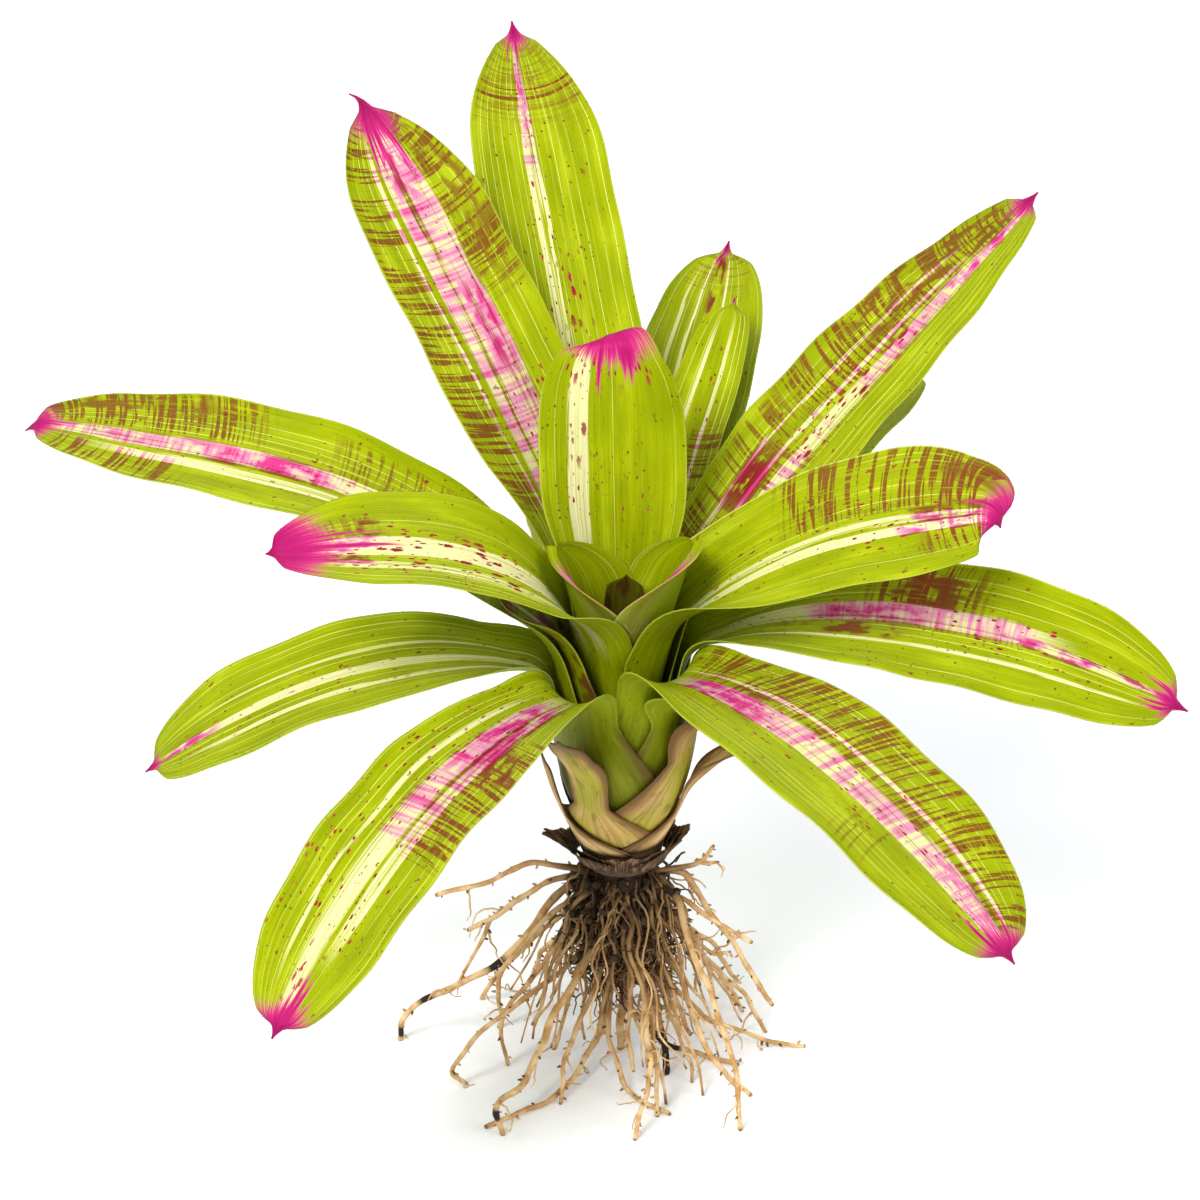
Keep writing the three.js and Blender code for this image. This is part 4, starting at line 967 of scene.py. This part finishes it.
DEAD_BASES = {
    "dead_base_back": dict(
        layer=24, azimuth=90, wrap=95, foot=93, flare=1, torn=[7, 10, 8, 12, 9, 13, 10, 8, 11, 7, 9]),
    "dead_base_front": dict(
        layer=25, azimuth=280, wrap=80, foot=90.5, flare=1.6,
        torn=[9, 7, 8, 6, 7, 8, 7, 9, 8, 10, 12]),
    "dead_base_right": dict(
        layer=26, azimuth=340, wrap=60, foot=90, flare=4, torn=[3, 5, 7, 9, 12, 16, 11, 8, 6]),
    "dead_base_left": dict(
        layer=26, azimuth=205, wrap=55, foot=90, flare=10, torn=[5, 8, 12, 16, 9, 7, 8, 5]),
}
HUSK_THICKNESS = 0.5
HUSK_COLUMNS = 72
HUSK_ROWS = 10
HUSK_SEED = 60
TEARS = 19
HUSK_DARK = (0.032, 0.015, 0.008)
HUSK_BROWN = (0.21, 0.115, 0.058)
HUSK_PALE = (0.36, 0.22, 0.12)

for number, (name, base) in enumerate(DEAD_BASES.items()):
    rng = np.random.default_rng(HUSK_SEED + number)
    across = np.linspace(-1, 1, HUSK_COLUMNS + 1)
    tall = np.interp(across, np.linspace(-1, 1, len(base["torn"])), base["torn"])
    tears = np.interp(across, np.linspace(-1, 1, TEARS), rng.uniform(-1, 0.4, TEARS))
    tall = tall * (1 + 0.22 * tears + 0.05 * rng.uniform(-1, 1, len(tall)))
    up = np.linspace(0, 1, HUSK_ROWS + 1)[:, None] * tall[None, :]
    height = base["foot"] + up
    share = up / max(base["torn"])
    flare = base["flare"] * share ** 2
    crumple = 1.7 * np.sin(across * 6.5 + number)[None, :] ** 2 * share
    crumple += 0.35 * np.sin(across * 19)[None, :] ** 2 * share
    radius = sheath_radius(base["layer"], height) + flare + crumple
    angle = math.radians(base["azimuth"]) + across * math.radians(base["wrap"])
    grid = np.stack([radius * np.cos(angle), radius * np.sin(angle), height], 2)
    mesh = thick_mesh(name, grid, np.full(grid.shape[:2], HUSK_THICKNESS))
    place = np.stack([np.broadcast_to(across * 60, up.shape), up, up], 2).reshape(-1, 3)
    set_attribute(mesh, "place", np.concatenate([place, place]))
    husk = Paint(name + "_fibre", HUSK_DARK, 0.85, 0.2)
    run, rise, _ = husk.attribute("place")
    fibre = husk.noise(husk.place(run * 1.4, rise * 0.12, number), 1, 4)
    patch = husk.noise(husk.place(run * 0.2, rise * 0.2, number), 1, 3)
    husk.coat(fibre.step(0.42, 0.62), HUSK_BROWN)
    husk.coat(patch.step(0.5, 0.66, 0, 0.75), HUSK_PALE)
    piece_from(name + "_husk", mesh, husk.finish(fibre, 0.0012), name)


# ------------------------------------------------------------------ roots
# Wiry tan roots spread from a dark, fibrous crown and carry the plant. They taper, bend at knots,
# have some black, dead lengths, and bear short dark spurs and fine side roots.

MAIN_ROOTS = [
    (1.7, [(-6, 3, 82), (-23, 5, 71), (-42, 5, 43), (-67, 6, 26), (-86, 7, 12), (-89, 7, 0)]),
    (1.4, [(-6, 1, 82), (-28, 2, 76), (-44, 4, 63), (-61, 5, 52)]),
    (1.4, [(-6, 0, 80), (-20, -2, 84), (-38, -3, 86), (-53, -5, 80), (-73, -6, 74)]),
    (1.0, [(-44, 4, 63), (-50, 7, 57), (-56, 8, 45), (-66, 6, 26)]),
    (1.2, [(-6, -3, 78), (-24, -7, 70), (-47, -13, 42), (-48, -13, 22), (-45, -12, 0)]),
    (1.3, [(-4, -2, 58), (-14, -6, 51), (-35, -15, 36), (-56, -24, 20), (-67, -29, 9), (-61, -26, 0)]),
    (1.7, [(-3, -4, 64), (-14, -21, 53), (-27, -38, 36), (-38, -52, 18), (-48, -66, 15), (-46, -63, 0)]),
    (1.4, [(-2, -4, 46), (-9, -16, 20), (-20, -33, 5), (-37, -48, 2), (-53, -59, 1)]),
    (1.2, [(-3, -3, 52), (-16, -24, 30), (-22, -36, 14), (-24, -41, 0)]),
    (1.3, [(-2, -4, 44), (-5, -22, 18), (4, -38, 4), (19, -50, 1)]),
    (1.3, [(3, -4, 60), (8, -24, 44), (11, -44, 28), (9, -58, 16), (5, -67, 0)]),
    (1.3, [(4, -4, 56), (12, -26, 34), (13, -42, 16), (14, -50, 0)]),
    (2.0, [(5, -4, 52), (15, -14, 26), (18, -19, 0)]),
    (1.0, [(5, -4, 50), (18, -14, 30), (26, -22, 12), (28, -25, 0)]),
    (1.4, [(-3, 3, 40), (4, 3, 18), (18, -2, 4), (36, -9, 2), (47, -13, 1)]),
    (1.4, [(4, -2, 62), (20, -12, 45), (30, -20, 24), (42, -29, 5), (51, -36, 1)]),
    (1.5, [(6, -3, 78), (22, -12, 76), (28, -26, 57), (37, -42, 44), (43, -53, 27), (46, -60, 0)]),
    (1.2, [(3, 2, 44), (20, 3, 28), (36, 2, 13), (61, 1, 3), (74, 1, 1)]),
    (1.5, [(6, -1, 80), (24, -4, 83), (35, -6, 67), (48, -9, 46), (60, -11, 27)]),
    (1.3, [(6, -3, 78), (20, -9, 75), (35, -16, 70), (51, -24, 63)]),
    (1.2, [(7, -2, 82), (20, -5, 85), (30, -8, 91), (36, -9, 98)]),
    (0.9, [(30, -8, 91), (34, -9, 90), (38, -10, 91)]),
    (1.0, [(6, -2, 74), (22, -6, 72), (26, -7, 60), (36, -10, 50), (43, -12, 52)]),
    (2.4, [(0, 0, 60), (1, 1, 30), (0, 0, 0)]),
]
DARK_LENGTHS = {0: [(0.42, 0.5), (0.66, 0.73), (0.86, 0.96)], 6: [(0.8, 0.9)], 12: [(0.6, 1)],
                14: [(0.3, 0.6)], 16: [(0.1, 0.2)], 18: [(0.08, 0.18)]}
ROOT_STEP = 1.6
ROOT_SIDES = 10
ROOT_TAPER = 0.66
ROOT_SEED = 100
ROOTLET_CHANCE = 0.3
CROWN = [(4, 34), (6.5, 50), (9.5, 66), (12.5, 80), (13, 86.2)]
CROWN_SHRINK = 0.9
CROWN_SIDES = 32
CROWN_RINGS = 40
FINE_ROOT_DARK = 0.9


def draw(a, b):
    """A number from 0 to 1 that looks random and is always the same for a and b."""
    x = math.sin(a * 12.9898 + b * 78.233) * 43758.5453
    return x - math.floor(x)


def scattered_roots(count, seed, first, step, reach, drop, radius):
    """Roots that leave the crown a step of degrees apart and end between two reaches and heights."""
    roots = []
    for i in range(count):
        azimuth = math.radians(first + step * i + 10 * (draw(seed, i) - 0.5))
        far = reach[0] + (reach[1] - reach[0]) * draw(seed + 1, i)
        tip = drop[0] + (drop[1] - drop[0]) * draw(seed + 2, i)
        start = 58 + 18 * draw(seed + 3, i)
        sway = 8 * (draw(seed + 4, i) - 0.5)
        fall = start - tip
        route = []
        for share, height, side in ((0.1, start, 0), (0.45, tip + fall * 0.7, sway),
                                    (0.8, tip + fall * 0.3, -sway), (1, tip, 0)):
            turn = azimuth + side / max(far, 20)
            route.append((far * share * math.cos(turn), far * share * math.sin(turn), height))
        roots.append((radius * (0.85 + 0.3 * draw(seed + 5, i)), route))
    return roots


def tube_rings(centres, radii, sides):
    """Rings of points round a run of centres, carried along it without twisting."""
    centres = np.asarray(centres)
    runs = np.gradient(centres, axis=0)
    runs /= np.maximum(np.linalg.norm(runs, axis=1, keepdims=True), 1e-9)
    side = np.cross(runs[0], (0, 0, 1) if abs(runs[0][2]) < 0.9 else (1, 0, 0))
    angle = 2 * np.pi * np.arange(sides) / sides
    rings = []
    for centre, run, radius in zip(centres, runs, radii):
        side = side - run * side.dot(run)
        side /= np.linalg.norm(side)
        other = np.cross(run, side)
        rings.append(centre + np.outer(np.cos(angle), side * radius)
                     + np.outer(np.sin(angle), other * radius))
    return np.array(rings), runs


def tube_faces(count, sides, offset):
    faces = []
    for i in range(count - 1):
        for k in range(sides):
            a, b = offset + i * sides + k, offset + i * sides + (k + 1) % sides
            faces.append((a, b, b + sides, a + sides))
    faces.append(tuple(offset + k for k in reversed(range(sides))))
    faces.append(tuple(offset + (count - 1) * sides + k for k in range(sides)))
    return faces


class Bundle:
    """Many tubes gathered into one mesh, with a value for each point."""

    def __init__(self):
        self.points, self.values, self.faces = [], [], []

    def add(self, centres, radii, sides, values):
        rings, runs = tube_rings(centres, radii, sides)
        self.faces += tube_faces(len(centres), sides, sum(len(p) for p in self.points))
        self.points.append(rings.reshape(-1, 3))
        self.values.append(np.repeat(values, sides, axis=0))
        return rings, runs

    def mesh(self, name):
        points = np.concatenate(self.points)
        points[:, 2] = np.maximum(points[:, 2], 0)
        mesh = bpy.data.meshes.new(name)
        mesh.from_pydata((points / 1000).tolist(), [], self.faces)
        mesh.shade_smooth()
        set_attribute(mesh, "place", np.concatenate(self.values))
        return mesh


def crown_radius(height):
    return np.interp(height, [height for _, height in CROWN], [radius for radius, _ in CROWN])


back_roots = scattered_roots(count=9, seed=3, first=12, step=19, reach=(52, 74), drop=(0, 0), radius=1.3)
inner_roots = scattered_roots(count=12, seed=11, first=0, step=137.5, reach=(16, 34), drop=(3, 30),
                              radius=1.2)
bundle = Bundle()
spur_points, spur_ways, rootlet_starts = [], [], []
for number, (radius, route) in enumerate(MAIN_ROOTS + back_roots + inner_roots):
    rng = np.random.default_rng(ROOT_SEED + number)
    corners = [[c[axis] for c in route] for axis in range(3)]
    length = sum(math.dist(a, b) for a, b in zip(route, route[1:]))
    count = max(6, round(length / ROOT_STEP))
    share = np.linspace(0, 1, count + 1)
    centres = np.array([[spline(values, t) for values in corners] for t in share])
    phase = rng.uniform(0, 6.3, 6)
    run = share * length
    still = np.minimum(share, 1 - share) * 4
    for axis in range(3):
        sway = 0.8 * np.sin(run / 7.5 + phase[axis]) + 0.35 * np.sin(run / 2.9 + phase[axis + 3])
        centres[:, axis] += sway * np.clip(still, 0, 1) * (0.6 if axis == 2 else 1)
    knots = 1 + 0.12 * np.sin(run / 3.1 + phase[0]) * np.sin(run / 1.7 + phase[1])
    radii = radius * (1 + (ROOT_TAPER - 1) * share) * knots * rng.uniform(0.95, 1.05, count + 1)
    radii[-1] *= 0.7
    dark = np.zeros(count + 1)
    for low, high in DARK_LENGTHS.get(number, ()):
        dark = np.maximum(dark, smooth((share - low) / 0.02) * smooth((high - share) / 0.02))
    values = np.stack([dark, run, length - run], 1)
    rings, runs = bundle.add(centres, radii, ROOT_SIDES, values)
    centres[:, 2] = np.maximum(centres[:, 2], radii)
    for place in np.cumsum(rng.uniform(1.5, 8, int(length / 4))):
        if place > length - 1:
            break
        i = min(int(place / length * count) + 1, count)
        spoke = rings[i][rng.integers(ROOT_SIDES)] - centres[i]
        spoke /= max(np.linalg.norm(spoke), 1e-6)
        way = spoke + rng.uniform(0, 0.9) * runs[i]
        way /= np.linalg.norm(way)
        if centres[i][2] + way[2] * 3 < 1:
            continue
        spur_points.append(centres[i] + spoke * radii[i] * 0.6 + way * 0.6)
        spur_ways.append(way)
        if rng.random() < ROOTLET_CHANCE and centres[i][2] > 6:
            rootlet_starts.append((centres[i], way, runs[i]))

crown_heights = np.linspace(CROWN[0][1], CROWN[-1][1], CROWN_RINGS)
middle = np.zeros(CROWN_RINGS)
bundle.add(np.stack([middle, middle, crown_heights], 1), crown_radius(crown_heights) * CROWN_SHRINK,
           CROWN_SIDES, np.stack([middle + FINE_ROOT_DARK, crown_heights, middle + 50], 1))

ROOT_TAN = (0.76, 0.53, 0.27)
ROOT_BROWN = (0.47, 0.25, 0.08)
ROOT_RING = (0.17, 0.08, 0.03)
ROOT_PALE = (0.84, 0.66, 0.40)
ROOT_END = (0.14, 0.065, 0.025)
ROOT_SHADE = (0.27, 0.135, 0.045)
HUMUS_AND_SHADE = (0.055, 0.026, 0.012)
ROOT_BLACK = (0.022, 0.012, 0.007)
root = Paint("root_skin", ROOT_TAN, 0.75, 0.25)
dark, run, left = root.attribute("place")
where = root.where()
mottle = root.noise(where, 140, 4)
fine = root.noise(where, 900, 3)
rings_of_bark = root.noise(root.place(run * 0.9, 0, 0), 1, 2)
x, y, height = where.parts()
from_middle = (x * x + y * y).math("SQRT")
root.coat(mottle.step(0.35, 0.65), ROOT_BROWN)
root.coat(rings_of_bark.step(0.62, 0.75, 0, 0.5), ROOT_RING)
root.coat(fine.step(0.5, 0.8, 0, 0.35), ROOT_PALE)
root.coat(left.step(0.6, 2.6, 0.8, 0), ROOT_END)
# Painted shade: the roots darken towards the middle of the ball, and near the crown a mottled near-black
# is partly humus and partly painted shade.
root.coat(from_middle.step(0.016, 0.046, 1, 0) * height.step(0.004, 0.045) * 0.75, ROOT_SHADE)
near_crown = from_middle.step(0.012, 0.032, 1, 0) * height.step(0.02, 0.070)
root.coat(near_crown * mottle.step(0.36, 0.58, 0.35, 0.95), HUMUS_AND_SHADE)
root.coat(dark, ROOT_BLACK)
root_paint = root.finish(mottle * 0.6 + fine * 0.4, 0.0012)
piece_from("root_mop", bundle.mesh("root_mop"), root_paint, "roots")

# Fine side roots: a skirt of wavering threads from under the dead bases, thin ones from the larger
# roots, a felt of short ones round the crown, and crumbs of black humus held among them.
SKIRT_THREADS = 48
SKIRT_STEPS = 22
SKIRT_START = 12.5
FELT_THREADS = 330
CRUMBS = 130
THREAD_SIDES = 5
THREAD_END = 9.0
LOWEST_THREAD = 0.4
threads = Bundle()
rng = np.random.default_rng(7)


def stray_line(place, heading, strides, swerve, pull, stride):
    """A run of points that swerves at random and is pulled gently down."""
    line = [place]
    for _ in range(rng.integers(*strides)):
        heading = heading + rng.normal(0, swerve, 3) + (0, 0, -pull)
        heading /= np.linalg.norm(heading)
        line.append(line[-1] + heading * stride)
    line = np.array(line)
    line[:, 2] = np.maximum(line[:, 2], LOWEST_THREAD)
    return line


def add_thread(line, thick, thin, dark):
    threads.add(line, np.linspace(thick, thin, len(line)), THREAD_SIDES,
                np.stack([np.full(len(line), dark), line[:, 2], np.full(len(line), THREAD_END)], 1))


for number in range(SKIRT_THREADS):
    azimuth = number * 2.4 + rng.uniform(-0.3, 0.3)
    reach = rng.uniform(22, 50)
    tip = max(2, 62 - reach * 0.9 + rng.uniform(-22, 10))
    start = rng.uniform(74, 86)
    bend = rng.uniform(-0.35, 0.35)
    share = np.linspace(0, 1, SKIRT_STEPS)
    turn = azimuth + bend * share ** 2 + 0.09 * np.sin(share * 17 + number) * (1 - share * 0.6)
    out = SKIRT_START + (reach - SKIRT_START) * share ** rng.uniform(0.8, 1.3)
    fall = start + (tip - start) * share ** rng.uniform(0.9, 1.7) + 1.6 * np.sin(share * 13 + number * 2)
    line = np.stack([out * np.cos(turn), out * np.sin(turn), np.maximum(fall, 0.6)], 1)
    thick = rng.uniform(0.5, 1.1)
    threads.add(line, np.linspace(thick, thick * 0.55, SKIRT_STEPS), 6,
                np.stack([0 * share, share * 60, (1 - share) * 60], 1))
for centre, way, run_way in rootlet_starts:
    add_thread(stray_line(centre, way + 0.8 * run_way, (6, 16), 0.38, 0.12, 1.5), 0.5, 0.2, 0)
for _ in range(FELT_THREADS):
    azimuth = rng.uniform(0, 2 * math.pi)
    height = rng.uniform(44, 86)
    reach = crown_radius(height) * 0.95
    place = np.array([reach * math.cos(azimuth), reach * math.sin(azimuth), height])
    heading = np.array([math.cos(azimuth) * 0.8, math.sin(azimuth) * 0.8, rng.uniform(-1.6, -0.3)])
    line = stray_line(place, heading, (10, 26), 0.4, 0.2, 1.8)
    add_thread(line, rng.uniform(0.45, 0.8), 0.25, FINE_ROOT_DARK if rng.random() < 0.5 else 0)
for number in range(CRUMBS):
    azimuth = rng.normal(3.4, 1.1) if number % 3 else rng.uniform(0, 2 * math.pi)
    out, height = rng.uniform(12, 24), rng.uniform(56, 86)
    size = rng.uniform(0.8, 2.1)
    heading = rng.normal(0, 1, 3)
    heading /= np.linalg.norm(heading)
    place = np.array([out * math.cos(azimuth), out * math.sin(azimuth), height - (out - 12) * 0.8])
    line = place + np.outer(np.linspace(-1, 1, 5), heading * size)
    plump = size * np.array([0.35, 0.9, 1, 0.8, 0.3]) * rng.uniform(0.7, 1.15, 5)
    threads.add(line, plump, 6, np.tile([0.93, height, THREAD_END], (5, 1)))
piece_from("fine_roots", threads.mesh("fine_roots"), root_paint)

SPUR_SIZES = {"Length": 0.0013, "Width": 0.00055, "Blunt end": 0.0003}
SPUR_DARK = (0.14, 0.065, 0.03)
SPUR_TAN = (0.50, 0.31, 0.14)
spur = Paint("spur_bark", SPUR_DARK, 0.8, 0.2)
spur.coat(spur.noise(spur.where(), 120, 2).step(0.42, 0.58), SPUR_TAN)
grow("root_spurs", spur_points, spur_ways, {**SPUR_SIZES, "Seed": 9, "Material": spur.finish()})
